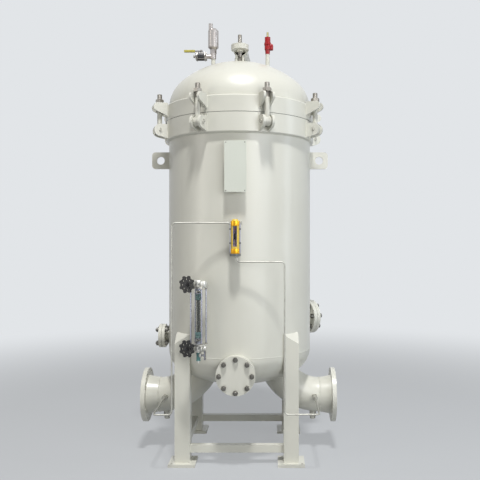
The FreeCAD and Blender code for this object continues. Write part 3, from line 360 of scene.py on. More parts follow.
def gauge_paint(name, colour, dusty, axis_y, bore_r, middle_z, above, below):
    """Yellow paint, but a dull dark bore round the gauge's axis, where the pointer runs."""
    s = Surface(name, Coat_Weight=0.3, Coat_Roughness=0.25)
    across = s.graph.add("ShaderNodeSeparateXYZ", inputs={0: s.where}, out="X")
    depth = across.also("Y") - axis_y
    in_bore = (across * across + depth * depth) < bore_r * bore_r
    lining = s.blend(across.also("Z") > middle_z, below, above)
    soiled = s.span(s.noise(60.0, 3.0), 0.4, 0.8)
    s.feed("Base Color", s.blend(in_bore, s.blend(soiled * 0.5, colour, dusty), lining))
    s.feed("Roughness", 0.3 + in_bore * 0.3 + soiled * 0.1)
    s.bump(s.noise(330.0, 1.0), 0.0001)


gauge_paint("gauge_yellow", srgb(222, 190, 66), srgb(204, 168, 48), axis_y=-0.52, bore_r=0.0083,
            middle_z=1.36, above=srgb(172, 170, 216), below=srgb(192, 180, 202))
print("paints:", sorted(materials))

# %% [markdown]
# ## Bare metal
# Stainless tube, turned fittings and brass are metallic with low roughness. Fine scratches along the
# length come from noise that is squeezed in one direction. The sight gauge's valves and rods are one CAD
# node, so one metal has two looks: satin castings, and bright drawn rods between two heights.

# %% Bare metals
def metal(name, colour, worn, rough, stretch=(1.0, 1.0, 0.06), scratch=0.00003):
    """Bare metal with drawn or turned scratches and patches of duller surface."""
    s = Surface(name, Metallic=1.0)
    lines = s.noise(900.0, 2.0, 0.6, stretch)
    patches = s.span(s.noise(28.0, 3.0), 0.4, 0.75)
    s.feed("Base Color", s.blend(patches * 0.6, colour, worn))
    s.feed("Roughness", rough + patches * 0.12 + lines * 0.08)
    s.bump(lines, scratch)


even = (1.0, 1.0, 1.0)
metal("tube_steel", srgb(180, 179, 171), srgb(160, 158, 150), rough=0.48, stretch=even, scratch=0.00001)
metal("valve_nickel", srgb(208, 207, 201), srgb(186, 184, 178), rough=0.46, stretch=even, scratch=0.00002)
metal("fitting_steel", srgb(158, 155, 151), srgb(122, 119, 116), rough=0.34, stretch=(0.06, 1.0, 1.0))
metal("chrome", srgb(146, 147, 156), srgb(104, 104, 112), rough=0.16, stretch=(1.0, 1.0, 0.2),
      scratch=0.00001)
metal("strip_steel", srgb(166, 168, 178), srgb(146, 148, 158), rough=0.4)
metal("float_steel", srgb(190, 184, 180), srgb(160, 153, 149), rough=0.26)
metal("stud_steel", srgb(152, 148, 141), srgb(112, 106, 98), rough=0.4)
metal("flange_steel", srgb(120, 118, 112), srgb(78, 76, 72), rough=0.3)
metal("brass", srgb(184, 174, 132), srgb(150, 140, 98), rough=0.34, stretch=even)


def gauge_metal(name, casting, drawn, low_z, high_z):
    """Satin castings, but bright drawn rods between two heights."""
    s = Surface(name, Metallic=1.0)
    height = s.graph.add("ShaderNodeSeparateXYZ", inputs={0: s.where}, out="Z")
    rods = (height > low_z) * (height < high_z)
    s.feed("Base Color", s.blend(rods, casting, drawn))
    s.feed("Roughness", 0.46 - rods * 0.2)
    s.bump(s.noise(700.0, 2.0), 0.00002)


gauge_metal("sight_metal", srgb(204, 203, 198), srgb(166, 168, 180), low_z=0.7495, high_z=1.0675)
metal("gauge_gold", srgb(216, 162, 46), srgb(194, 138, 32), rough=0.3, stretch=even)
print("metals made")

# %% [markdown]
# ## Rubber, plastic, glass and filter media
# The handwheels are moulded in black, the gaskets are black rubber, and the gauge glass and its shield
# are clear. The cartridges inside are pleated white media.

# %% Other finishes
def moulded(name, colour, rough, grain):
    """Moulded plastic or rubber with a fine grain."""
    s = Surface(name)
    s.feed("Base Color", s.blend(s.span(s.noise(60.0, 3.0), 0.4, 0.8), colour,
                                 tuple(min(c * 1.5 + 0.004, 1.0) for c in colour[:3]) + (1.0,)))
    s.feed("Roughness", rough + s.noise(200.0) * 0.1)
    s.bump(s.noise(1400.0, 2.0), grain)


def clear(name, colour, solid, dust):
    """Clear glass or plastic, with a trace of dust."""
    s = Surface(name, Base_Color=colour, Roughness=0.04, IOR=1.5)
    s.feed("Alpha", solid + s.span(s.noise(40.0, 3.0), 0.45, 0.8) * dust)
    s.material.surface_render_method = "BLENDED"


def pleated(name, colour, shade, pleats, waviness):
    """White media folded into pleats round each cartridge. Each fold is darkened towards the second colour
    as painted shade.
    """
    s = Surface(name, Roughness=0.85)
    folds = s.graph.add("ShaderNodeTexWave", {"wave_type": "BANDS", "bands_direction": "X"},
                        {"Vector": s.where, "Scale": pleats, "Distortion": waviness})
    s.feed("Base Color", s.blend(folds, colour, shade))
    s.bump(folds, 0.002)


moulded("wheel_black", srgb(14, 14, 16), rough=0.36, grain=0.00006)
moulded("gasket_rubber", srgb(30, 30, 30), rough=0.7, grain=0.0001)
moulded("pointer_black", srgb(14, 14, 20), rough=0.5, grain=0.00004)
moulded("pointer_red", srgb(170, 40, 30), rough=0.5, grain=0.00004)
clear("gauge_pane", srgb(130, 134, 152), solid=0.015, dust=0.01)
clear("sight_tube", srgb(96, 104, 100), solid=0.2, dust=0.05)
clear("shield", srgb(122, 124, 120), solid=0.12, dust=0.03)
pleated("element_media", srgb(236, 234, 226), srgb(206, 204, 196), pleats=90.0, waviness=1.0)
print(len(materials), "materials in all")

# %% [markdown]
# ## Dressing the CAD nodes
# Each CAD node keeps its mesh and only gets the finish of its real piece.

# %% Finishes of the CAD nodes
finish_of = {
    "nameplate": "plate_metal", "closure_gasket": "gasket_rubber", "gauge_body": "gauge_yellow",
    "gauge_window": "gauge_pane", "gauge_pointer": "pointer_black", "gauge_bracket": "fitting_steel",
    "gauge_tubing": "tube_steel", "pipe_fittings": "tube_steel", "flange_studs": "flange_steel",
    "sight_valves": "sight_metal", "sight_glass": "shield", "drain_handle": "chrome",
    "handwheel_upper": "wheel_black", "handwheel_lower": "wheel_black", "lift_clevis": "bolt_paint",
    "jack_nut": "bolt_paint", "hinge_pins": "bolt_paint", "air_eliminator": "float_steel",
    "vent_valve_body": "valve_black", "vent_lever": "lever_grip", "relief_valve_body": "valve_red",
    "relief_stem": "brass", "coalescer_cartridges": "element_media",
    "separator_cartridges": "element_media"}


def finish_for(node):
    if node.startswith("swing_"):
        return "bolt_paint"
    return finish_of.get(node, "vessel_paint")


for node_name, node_object in nodes.items():
    node_object.data.materials.clear()
    node_object.data.materials.append(materials[finish_for(node_name)])
print("dressed", len(nodes), "nodes")

# %% [markdown]
# ## Making a piece
# A piece is one mesh of a few forms. Each form is a function that adds itself to a bmesh, so `turned` or
# `hex_nut` only says what will be built. A finished piece has its place in its mesh and its object sits at
# the origin. `piece` builds it, shades it and lets it ride on its body.

# %% Piece helpers
corners = [(-1, -1), (-1, 1), (1, -1), (1, 1)]


def mesh_of(name, forms):
    """One mesh with all the forms in it and its faces outwards."""
    bm = bmesh.new()
    for form in forms:
        form(bm)
    bmesh.ops.recalc_face_normals(bm, faces=bm.faces)
    mesh = bpy.data.meshes.new(name)
    bm.to_mesh(mesh)
    bm.free()
    return mesh


def show(obj, body, smooth_angle=35, replaces=()):
    """Shade an object and let it ride on its body."""
    for polygon in obj.data.polygons:
        polygon.use_smooth = True
    obj.data.set_sharp_from_angle(angle=math.radians(smooth_angle))
    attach(obj, body)
    if replaces:
        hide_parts(*replaces)


def piece(name, body, material, slot, *forms, replaces=()):
    """Finished piece of one material that rides on a body."""
    obj = bpy.data.objects.new(name, mesh_of(name, forms))
    obj.data.materials.append(materials[material])
    bpy.context.scene.collection.objects.link(obj)
    show(obj, body, replaces=replaces)


def turns(count):
    """Even angles round a circle."""
    return [2 * math.pi * i / count for i in range(count)]


def circle(radius, height, count):
    """Points round Z, in metres, from a radius and a height in millimetres."""
    return [(radius * MM * math.cos(a), radius * MM * math.sin(a), height * MM) for a in turns(count)]


def rings(matrix, rows, closed=True):
    """Skin over rows of points, each row a closed ring. With closed, the last row joins the first."""
    def build(bm):
        made = [[bm.verts.new(matrix @ Vector(point)) for point in row] for row in rows]
        count = len(made[0])
        pairs = list(zip(made, made[1:])) + ([(made[-1], made[0])] if closed else [])
        for low, high in pairs:
            for i in range(count):
                j = (i + 1) % count
                bm.faces.new((low[i], low[j], high[j], high[i]))
        if not closed:
            bm.faces.new(list(reversed(made[0])))
            bm.faces.new(made[-1])
    return build


def turned(matrix, profile, closed=False, segments=48):
    """(radius, height) points in millimetres turned about Z. An open profile is capped at both ends."""
    return rings(matrix, [circle(radius, height, segments) for radius, height in profile], closed)


def rod(matrix, radius, length, segments=48):
    return turned(matrix, [(radius, 0), (radius, length)], segments=segments)


def washer(matrix, bore_r, radius, thick, segments=48):
    profile = [(bore_r, 0), (radius, 0), (radius, thick), (bore_r, thick)]
    return turned(matrix, profile, closed=True, segments=segments)


def drum(matrix, bore_r, radius, length, edge=2.0):
    """Thick ring with bevelled outer edges."""
    profile = [(bore_r, 0), (radius - edge, 0), (radius, edge), (radius, length - edge),
               (radius - edge, length), (bore_r, length)]
    return turned(matrix, profile, closed=True)


def hoop(matrix, radius, thick, segments=36, sides=8):
    """Ring of round wire, sizes in millimetres."""
    profile = [(radius + thick * math.cos(a), thick * math.sin(a)) for a in turns(sides)]
    return turned(matrix, profile, closed=True, segments=segments)


def bevelled_box(low, high, bevel, matrix=Matrix.Identity(4)):
    """Box between two corners in millimetres, with its edges rounded."""
    def build(bm):
        made = bmesh.ops.create_cube(bm, size=1.0)
        bmesh.ops.scale(bm, vec=(Vector(high) - Vector(low)) * MM, verts=made["verts"])
        bmesh.ops.translate(bm, vec=(Vector(high) + Vector(low)) * MM / 2, verts=made["verts"])
        edges = list({e for v in made["verts"] for e in v.link_edges})
        done = bmesh.ops.bevel(bm, geom=edges, offset=bevel * MM, segments=3, profile=0.7, affect="EDGES")
        verts = list({v for f in done["faces"] for v in f.verts} | {v for v in made["verts"] if v.is_valid})
        bmesh.ops.transform(bm, matrix=matrix, verts=verts)
    return build


def box_pair(low, high, bevel):
    """A box right of the middle and its mirror image at the left."""
    left = bevelled_box((-high[0], low[1], low[2]), (-low[0], high[1], high[2]), bevel)
    return left, bevelled_box(low, high, bevel)


def crosswise(x, z, side=1):
    """Matrix that lays a turned shape along X, from a point above the X axis."""
    return place(mm(x, 0, z), Vector((side, 0, 0)))


print("piece helpers are ready")

# %% [markdown]
# ## Nuts and threads
# A real nut is a hexagon whose corners are turned off at 30 degrees, which leaves the curved edge on each
# flat. The radius of a hexagon changes with the angle, so each ring of points follows that rule. A thread
# is a rod whose radius rises and falls once for every pitch, and that wave starts a little later at each
# angle: that makes it a helix.

# %% Nut and thread shapes
def hexagon_radius(flats, angle):
    """Distance from the middle to the edge of a hexagon at an angle."""
    sixth = math.pi / 3
    return flats / 2 / math.cos((angle + sixth / 2) % sixth - sixth / 2)


def hex_nut(matrix, flats, height, bore_r, start=0.0, steps=60):
    """Chamfered nut on the origin, sizes in millimetres."""
    chamfer_r = flats / 2 * 0.95
    slope = math.tan(math.radians(30))
    edges = [hexagon_radius(flats, a) for a in turns(steps)]
    drops = [(edge - chamfer_r) * slope for edge in edges]

    def ring(radii, heights):
        return [(r * MM * math.cos(a + start), r * MM * math.sin(a + start), z * MM)
                for a, r, z in zip(turns(steps), radii, heights)]
    bore, chamfer = [bore_r] * steps, [chamfer_r] * steps
    foot, top = [0.0] * steps, [height] * steps
    return rings(matrix, [ring(bore, foot), ring(chamfer, foot), ring(edges, drops),
                          ring(edges, [height - drop for drop in drops]), ring(chamfer, top),
                          ring(bore, top)])


def thread(matrix, radius, pitch, length, depth=0.8, segments=24, per_turn=6, chamfer=2.0):
    """Threaded rod on the origin with a chamfered end, sizes in millimetres."""
    rows = []
    steps = max(2, round(length / pitch * per_turn))
    for k in range(steps + 1):
        z = length * k / steps
        row = []
        for i in range(segments):
            turn = i / segments
            wave = abs(((z / pitch - turn) % 1.0) * 2 - 1)
            r = radius - depth * wave
            r = min(r, radius - depth - chamfer + (length - z) + chamfer * 0.4)
            angle = 2 * math.pi * turn
            row.append((r * MM * math.cos(angle), r * MM * math.sin(angle), z * MM))
        rows.append(row)
    return rings(matrix, rows, closed=False)


print("a 46 mm nut is", round(2 * hexagon_radius(46, math.pi / 6), 1), "mm over its corners")

# %% [markdown]
# ## The swing bolts
# Eight eye bolts hold the head down. Each one turns on its pin, and its nut pulls on a pair of ears. The
# CAD bolt is a plain pin with an eye. The real one is forged: a rounded eye, a neck that swells into it,
# a plain shank and a threaded end. Split pins of round wire keep the hinge pins in the ears.

# %% Swing bolts and their nuts
bolt_count = 8
bolt_step = 360.0 / bolt_count
first_bolt_azimuth = -24.7
bolt_circle = 525.0
pin_z = 2028.0
pin_hole_r = 10.05
eye_r = 27.0
eye_w = 38.0
shank_r = 15.0
bolt_nut_bore = shank_r + 0.05
thread_from = 138.0
bolt_top = 224.3
nut_from = 170.3
nut_flats = 46.0
nut_h = 22.0
thread_pitch = 3.5
split_pin_from = 37.0
split_pin_r = 11.4
wire_r = 1.3

for number in range(1, bolt_count + 1):
    azimuth = first_bolt_azimuth + bolt_step * (number - 1)
    spot = radial(azimuth) * bolt_circle * MM + Vector((0, 0, pin_z * MM))
    side = tangent(azimuth)
    piece("eye_bolt_%d" % number, "bolt_%d" % number, "bolt_paint", "bolt_steel",
          turned(place(spot - side * eye_w / 2 * MM, side),
                 [(pin_hole_r, 0), (eye_r - 3, 0), (eye_r - 1, 1), (eye_r, 3), (eye_r, eye_w - 3),
                  (eye_r - 1, eye_w - 1), (eye_r - 3, eye_w), (pin_hole_r, eye_w)], closed=True),
          turned(place(spot),
                 [(shank_r + 2.5, 19), (shank_r + 1.8, 26), (shank_r + 0.6, 32), (shank_r, 38),
                  (shank_r, thread_from), (shank_r - 0.6, thread_from + 1)], segments=32),
          replaces=["swing_bolt_%d" % number])
    piece("bolt_thread_%d" % number, "bolt_%d" % number, "stud_steel", "bolt_steel",
          thread(place(spot + UP * thread_from * MM), shank_r - 0.05, thread_pitch, bolt_top - thread_from))
    piece("closure_nut_%d" % number, "nut_%d" % number, "stud_steel", "bolt_steel",
          hex_nut(place(spot + UP * nut_from * MM), nut_flats, nut_h, bolt_nut_bore,
                  math.radians(azimuth - 90)),
          turned(place(spot + UP * (nut_from + nut_h) * MM),
                 [(bolt_nut_bore, 0), (shank_r + 4.5, 0), (shank_r + 4.0, 1.2), (bolt_nut_bore, 1.2)],
                 closed=True),
          replaces=["swing_nut_%d" % number])
    piece("split_pins_%d" % number, "vessel", "stud_steel", "bolt_steel",
          *[hoop(place(spot + side * end * split_pin_from * MM, radial(azimuth)), split_pin_r, wire_r)
            for end in (-1, 1)])
print("made", bolt_count, "eye bolts with nuts")

# %% [markdown]
# ## The lifting screw
# The davit carries the head on a long screw, held between two ears on the dome's crown. A nut on the
# davit's nose draws the screw up. The screw is bare steel, and only its upper end is threaded.

# %% Clevis, screw and lifting nut
nose_top_z = 2618.0
screw_r = 13.0
screw_top_z = 2686.0
screw_thread_z = 2560.0
screw_pitch = 4.0
clevis_pin_z = 2523.0
clevis_top_z = 2547.0
clevis_low_z = 2470.0
clevis_inner = 15.0
clevis_outer = 29.0
clevis_half = 22.0
clevis_pin_r = 8.0
clevis_pin_half = 33.0
screw_eye_r = 17.0
screw_eye_half = 12.0
jack_flats = 41.0
jack_h = 14.0

piece("clevis_ears", "head", "vessel_paint", "bare_steel",
      *box_pair((clevis_inner, -clevis_half, clevis_low_z), (clevis_outer, clevis_half, clevis_top_z),
                bevel=3.0),
      replaces=["lift_clevis"])
piece("clevis_pin", "head", "stud_steel", "bare_steel",
      turned(crosswise(-clevis_pin_half, clevis_pin_z),
             [(clevis_pin_r - 1.5, 0), (clevis_pin_r, 1.5), (clevis_pin_r, 2 * clevis_pin_half - 1.5),
              (clevis_pin_r - 1.5, 2 * clevis_pin_half)]),
      washer(crosswise(0.4 - clevis_pin_half, clevis_pin_z), clevis_pin_r, clevis_pin_r + 3.5, 3))
piece("lifting_screw", "head", "stud_steel", "bare_steel",
      drum(crosswise(-screw_eye_half, clevis_pin_z), clevis_pin_r + 0.1, screw_eye_r, 2 * screw_eye_half),
      turned(place(mm(0, 0, 0)),
             [(screw_r - 2.5, clevis_pin_z + 12), (screw_r - 0.4, clevis_pin_z + 26),
              (screw_r - 0.4, screw_thread_z), (screw_r - 1.2, screw_thread_z + 1)]),
      thread(place(mm(0, 0, screw_thread_z)), screw_r, screw_pitch, screw_top_z - screw_thread_z, depth=1.0))
piece("lifting_nut", "jack", "stud_steel", "bolt_steel",
      hex_nut(place(mm(0, 0, nose_top_z + 0.3)), jack_flats, jack_h, screw_r + 0.05),
      replaces=["jack_nut"])
print("lifting nut at", nose_top_z, "mm")

# %% [markdown]
# ## Rings of studs
# Studs repeat round every blanked nozzle, so they are a job for Geometry Nodes: points on a circle, one
# stud with its nuts on each point, and a turn that stands the circle on its flange. The sizes are named
# inputs, so one tree serves all three nozzles.

# %% A tree with named inputs
class Recipe:
    """A Geometry Nodes tree with named inputs, the material among them, and one geometry output."""

    def __init__(self, name, **inputs):
        self.tree = bpy.data.node_groups.new(name, "GeometryNodeTree")
        self.graph = Graph(self.tree)
        self.ids = {}
        for key, kind in dict(inputs, Material="Material").items():
            socket = self.tree.interface.new_socket(key, in_out="INPUT", socket_type="NodeSocket" + kind)
            self.ids[key] = socket.identifier
        self.tree.interface.new_socket("Geometry", in_out="OUTPUT", socket_type="NodeSocketGeometry")
        self.entry = self.graph.add("NodeGroupInput")

    def size(self, key):
        return self.entry.also(key)

    def end(self, geometry):
        """Close the tree: real mesh, with its material."""
        real = self.graph.add("GeometryNodeRealizeInstances", inputs={0: geometry})
        dressed = self.graph.add("GeometryNodeSetMaterial",
                                 inputs={"Geometry": real, "Material": self.size("Material")})
        self.graph.add("NodeGroupOutput", inputs={0: dressed})

    def make(self, name, body, material, slot, smooth_angle=35, **values):
        """Run the tree with these values and keep the result as a plain piece."""
        holder = bpy.data.objects.new(name, bpy.data.meshes.new(name + "_seed"))
        bpy.context.scene.collection.objects.link(holder)
        modifier = holder.modifiers.new("recipe", "NODES")
        modifier.node_group = self.tree
        for key, value in dict(values, Material=materials[material]).items():
            modifier[self.ids[key]] = value
        depsgraph = bpy.context.evaluated_depsgraph_get()
        mesh = bpy.data.meshes.new_from_object(holder.evaluated_get(depsgraph), depsgraph=depsgraph)
        holder.modifiers.remove(modifier)
        holder.data = mesh
        mesh.name = name
        show(holder, body, smooth_angle)


def pattern(name, *forms):
    """A small mesh that a tree repeats. It is never shown by itself."""
    return bpy.data.objects.new(name, mesh_of(name, forms))


def ring_recipe():
    """Repeats an object round a circle that is turned and moved to its place."""
    recipe = Recipe("Ring", Source="Object", Count="Int", Radius="Float", Shift="Float", Turn="Vector",
                    Place="Vector")
    g = recipe.graph
    index = g.add("GeometryNodeInputIndex")
    angle = (index + recipe.size("Shift")) / recipe.size("Count") * (2 * math.pi)
    spot = g.add("ShaderNodeCombineXYZ", inputs={
        "X": angle.math("COSINE", angle) * recipe.size("Radius"),
        "Y": angle.math("SINE", angle) * recipe.size("Radius")})
    points = g.add("GeometryNodePoints", inputs={"Count": recipe.size("Count"), "Position": spot})
    source = g.add("GeometryNodeObjectInfo", inputs={"Object": recipe.size("Source")}, out="Geometry")
    spin = g.add("ShaderNodeCombineXYZ", inputs={"Z": angle})
    copies = g.add("GeometryNodeInstanceOnPoints",
                   inputs={"Points": points, "Instance": source, "Rotation": spin})
    moved = g.add("GeometryNodeTransform", inputs={
        "Geometry": copies, "Translation": recipe.size("Place"), "Rotation": recipe.size("Turn")})
    recipe.end(moved)
    return recipe


ring = ring_recipe()
print("ring recipe has inputs", sorted(ring.ids))

# %% [markdown]
# The side and rear nozzles are closed with through studs that have a nut at both ends. The handhole's
# flange is let into the curve of the head, so its studs are screwed into it and have one nut each.

# %% Studs of the blanked nozzles
stud_r = 8.0
stud_flats = 27.0
stud_nut_h = 16.0
stud_end = 5.0
stud_pitch = 2.2
gasket_gap = 2.0
gasket_inset = 10.5
gasket_width = 6.5
tapped_depth = 18.0


def stud_pattern(name, grip, tapped):
    """Stud with one nut, or a nut at both ends, on the seat between two flanges."""
    tail = 0.0 if tapped else stud_nut_h + stud_end
    back = tapped_depth if tapped else grip
    nut_z = gasket_gap + grip
    forms = [
        turned(place(mm(0, 0, -back - tail)),
               [(stud_r - 1, 0), (stud_r - 0.2, 1.5), (stud_r - 0.2, back + tail + nut_z)], segments=20),
        thread(place(mm(0, 0, nut_z - 0.2)), stud_r, stud_pitch, stud_nut_h + stud_end,
               depth=0.7, segments=20, per_turn=5, chamfer=1.2),
        hex_nut(place(mm(0, 0, nut_z)), stud_flats, stud_nut_h, stud_r)]
    if not tapped:
        forms.append(hex_nut(place(mm(0, 0, -back - stud_nut_h)), stud_flats, stud_nut_h, stud_r))
    return pattern(name, *forms)


rear_azimuth = 120.0
handhole_z = 561.0
rear_nozzle_z = 813.0
side_nozzle_z = 720.0
# Name, height, direction, face from the vessel's axis, flange thickness, bolt circle, studs, their shift.
blanked = [
    ("handhole", handhole_z, Vector((0, -1, 0)), 502.0, 24.0, 190.5, 8, 0.0),
    ("rear_nozzle", rear_nozzle_z, radial(rear_azimuth), 560.0, 24.0, 190.5, 8, 0.5),
    ("side_nozzle", side_nozzle_z, Vector((-1, 0, 0)), 522.0, 19.0, 120.7, 4, 0.5)]
for label, z, out, face, thick, bolt_ring, count, shift in blanked:
    seat = mm(0, 0, z) + out * (face - thick - gasket_gap) * MM
    studs = stud_pattern(label + "_stud", thick, label == "handhole")
    ring.make(label + "_studs", "vessel", "flange_steel", "bolt_steel", Source=studs, Count=count,
              Radius=bolt_ring / 2 * MM, Shift=shift, Turn=tuple(UP.rotation_difference(out).to_euler()),
              Place=tuple(seat))
    gasket_r = bolt_ring / 2 - gasket_inset
    piece(label + "_gasket", "vessel", "gasket_rubber", "gasket_rubber",
          washer(place(seat + out * 0.2 * MM, out), gasket_r - gasket_width, gasket_r, gasket_gap - 0.4))
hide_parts("flange_studs")
print("studs on", len(blanked), "nozzles")

# %% [markdown]
# ## Weld beads
# Welded seams give away how the vessel is built. A bead is a row of overlapping drops laid along the
# joint, so another tree follows a path and sets a long drop every few millimetres. The paths are
# worked out from the same surfaces that meet there.

# %% Bead recipe
bead_step = 3.3
bead_drop = 3.6
bead_stretch = 1.25


def bead_recipe():
    """Lays long drops along a path, each turned to the path."""
    recipe = Recipe("Bead", Path="Object", Step="Float", Drop="Float")
    g = recipe.graph
    path = g.add("GeometryNodeObjectInfo", inputs={"Object": recipe.size("Path")}, out="Geometry")
    curve = g.add("GeometryNodeMeshToCurve", inputs={"Mesh": path})
    even = g.add("GeometryNodeResampleCurve", {"mode": "LENGTH"},
                 {"Curve": curve, "Length": recipe.size("Step")})
    spots = g.add("GeometryNodeCurveToPoints", {"mode": "EVALUATED"}, {"Curve": even})
    drop = g.add("GeometryNodeMeshUVSphere",
                 inputs={"Radius": recipe.size("Drop"), "Segments": 8, "Rings": 5})
    size = g.add("ShaderNodeCombineXYZ", inputs={"X": 1.0, "Y": 1.0, "Z": bead_stretch})
    copies = g.add("GeometryNodeInstanceOnPoints", inputs={
        "Points": spots, "Instance": drop, "Rotation": spots.also("Rotation"), "Scale": size})
    recipe.end(copies)
    return recipe


def path_object(name, lines, cyclic):
    """Lines of points joined by edges, as paths for a tree."""
    mesh = bpy.data.meshes.new(name)
    points, edges = [], []
    for line in lines:
        first, count = len(points), len(line)
        points += [tuple(p) for p in line]
        edges += [(first + i, first + (i + 1) % count) for i in range(count if cyclic else count - 1)]
    mesh.from_pydata(points, edges, [])
    return bpy.data.objects.new(name, mesh)


bead = bead_recipe()


def weld(name, lines, body="vessel", cyclic=True, step=bead_step, drop=bead_drop):
    """One piece of beads along some lines."""
    bead.make(name, body, "vessel_paint", "shell_paint", smooth_angle=60,
              Path=path_object(name + "_path", lines, cyclic), Step=step * MM, Drop=drop * MM)


print("a drop every", bead_step, "mm")

# %% [markdown]
# Where two round walls meet, the seam isn't a plain circle. Going round the smaller pipe, each angle
# gives a point of its wall, and that is moved along the pipe until it lies on the shell or the head.

# %% Paths where walls meet
shell_r = 457.2
shell_base_z = 650.0
head_depth = 228.6
knuckle_r = 155.4
pipe_axis_z = 336.0
pipe_r = 109.5
bend_r = 305.0
flange_weld_x = 518.0


def bottom_radius(z):
    """Radius of the shell or, below its rim, of the bottom head with its two arcs."""
    depth = shell_base_z - z
    if depth <= 0:
        return shell_r
    wide = shell_r - knuckle_r
    crown = (wide ** 2 + head_depth ** 2 - knuckle_r ** 2) / (2 * (head_depth - knuckle_r))
    tilt = math.atan2(wide, crown - head_depth)
    if depth <= knuckle_r * math.cos(tilt):
        return wide + math.sqrt(max(knuckle_r ** 2 - depth ** 2, 0.0))
    return math.sqrt(max(crown ** 2 - (depth - head_depth + crown) ** 2, 0.0))


def neck_path(base_z, azimuth, neck_r):
    """Where a level neck meets the shell or the bottom head."""
    points = []
    for a in turns(72):
        across, z = neck_r * math.cos(a), base_z + neck_r * math.sin(a)
        reach = math.sqrt(bottom_radius(z) ** 2 - across ** 2)
        points.append((radial(azimuth) * reach + tangent(azimuth) * across) * MM + Vector((0, 0, z * MM)))
    return points


def bend_point(side, a, turn):
    """Point of a bend's wall, at an angle round the pipe and a turn along it."""
    r = bend_r - pipe_r * math.cos(a)
    return (side * (flange_weld_x - r * math.cos(turn)), pipe_r * math.sin(a),
            pipe_axis_z + bend_r - r * math.sin(turn))


def bend_path(side):
    """Where a bend leaves the bottom head, found by halving the stretch of it that holds the seam."""
    points = []
    for a in turns(90):
        low, high = 0.0, math.pi / 2
        for _ in range(30):
            middle = (low + high) / 2
            x, y, z = bend_point(side, a, middle)
            inside = z > shell_base_z - head_depth and math.hypot(x, y) < bottom_radius(z)
            low, high = (middle, high) if inside else (low, middle)
        points.append(mm(*bend_point(side, a, low)))
    return points


def flange_path(side):
    """Circle where a pipe meets its flange, from its crown round."""
    return [mm(side * flange_weld_x, pipe_r * math.sin(a), pipe_axis_z + pipe_r * math.cos(a))
            for a in turns(72)]


def pipe_path(spot, direction, radius):
    """Circle round a pipe at a point of its axis, in millimetres."""
    stand = place(Vector(spot) * MM, direction)
    return [stand @ Vector(point) for point in circle(radius, 0.0, 60)]


print("the bottom head is", round(bottom_radius(handhole_z)), "mm in radius at the handhole")

# %% [markdown]
# The seams round the vessel are plain circles with a radius and a height. The davit's pipe has smaller
# beads at its bend and its nose, and the legs and lugs have straight ones up their sides.

# %% Welded seams
shell_top_z = 1972.0
dome_base_z = 2190.0
nozzle_neck_r = 57.15
side_neck_r = 30.15
davit_azimuth = 177.8
davit_radius = 600.0
davit_r = 44.45
davit_bend_r = 114.3
davit_arm_z = 2601.5
davit_nose = 57.0
leg_half = 45.0
leg_xy = 325.0
leg_top_z = 760.0
lug_half_t = 10.0
lug_low_z = 1808.0
lug_high_z = 1916.0

seams = {
    "bottom_head_weld": circle(shell_r - 2.4, shell_base_z, 180),
    "closure_ring_weld": circle(shell_r + 1, shell_top_z - 1, 180),
    "dome_weld": circle(shell_r + 0.6, dome_base_z + 0.6, 180),
    "handhole_weld": neck_path(handhole_z, 0.0, nozzle_neck_r),
    "rear_nozzle_weld": neck_path(rear_nozzle_z, rear_azimuth, nozzle_neck_r),
    "side_nozzle_weld": neck_path(side_nozzle_z, -90.0, side_neck_r),
    "inlet_weld": bend_path(-1),
    "outlet_weld": bend_path(1),
    "inlet_flange_weld": flange_path(-1),
    "outlet_flange_weld": flange_path(1)}
for label, points in seams.items():
    weld(label, [points], body="head" if label == "dome_weld" else "vessel")

davit_out = radial(davit_azimuth)
davit_spots = [
    (davit_out * davit_radius + UP * (davit_arm_z - davit_bend_r), UP),
    (davit_out * (davit_radius - davit_bend_r) + UP * davit_arm_z, davit_out),
    (davit_out * davit_nose + UP * davit_arm_z, davit_out)]
weld("davit_welds", [pipe_path(spot, direction, davit_r) for spot, direction in davit_spots],
     step=2.8, drop=3.0)


def upright_lines(spots, low_z, high_z):
    """Lines up the vessel, one at each (x, y) spot."""
    return [[mm(x, y, low_z), mm(x, y, high_z)] for x, y in spots]


leg_near = leg_xy - leg_half
leg_far = math.sqrt(shell_r ** 2 - leg_near ** 2)
leg_spots = [(sx * x, sy * y) for sx, sy in corners
             for x, y in ((leg_near, leg_far), (leg_far, leg_near))]
lug_spots = [(sx * shell_r, sy * lug_half_t) for sx, sy in corners]
upright = (upright_lines(leg_spots, shell_base_z, leg_top_z)
           + upright_lines(lug_spots, lug_low_z, lug_high_z))
weld("upright_welds", upright, cyclic=False)
print("laid", len(seams), "round seams, and", len(upright), "upright ones")

# %% [markdown]
# The ears repeat eight times round each ring, so the beads along their roots do too: one row of drops at
# every edge of a pair of ears, carried round by the ring recipe.

# %% Beads at the ears' roots
ring_r = 480.0
ear_inner = 20.0
ear_outer = 35.0
ear_drop = 3.3
ear_drop_step = 3.4
ear_drop_sunk = 1.3
ear_shift = (first_bolt_azimuth - 90.0) / bolt_step


def ear_beads(low_z, high_z):
    """Form of four rows of drops, one up each edge of a pair of ears."""
    def build(bm):
        for across in (-ear_outer, -ear_inner, ear_inner, ear_outer):
            for k in range(round((high_z - low_z) / ear_drop_step)):
                spot = Matrix.Translation(mm(-ear_drop_sunk, across, low_z + ear_drop_step * k))
                bmesh.ops.create_uvsphere(bm, u_segments=8, v_segments=5, radius=ear_drop * MM,
                                          matrix=spot @ Matrix.Diagonal((1, 1, bead_stretch, 1)))
    return build


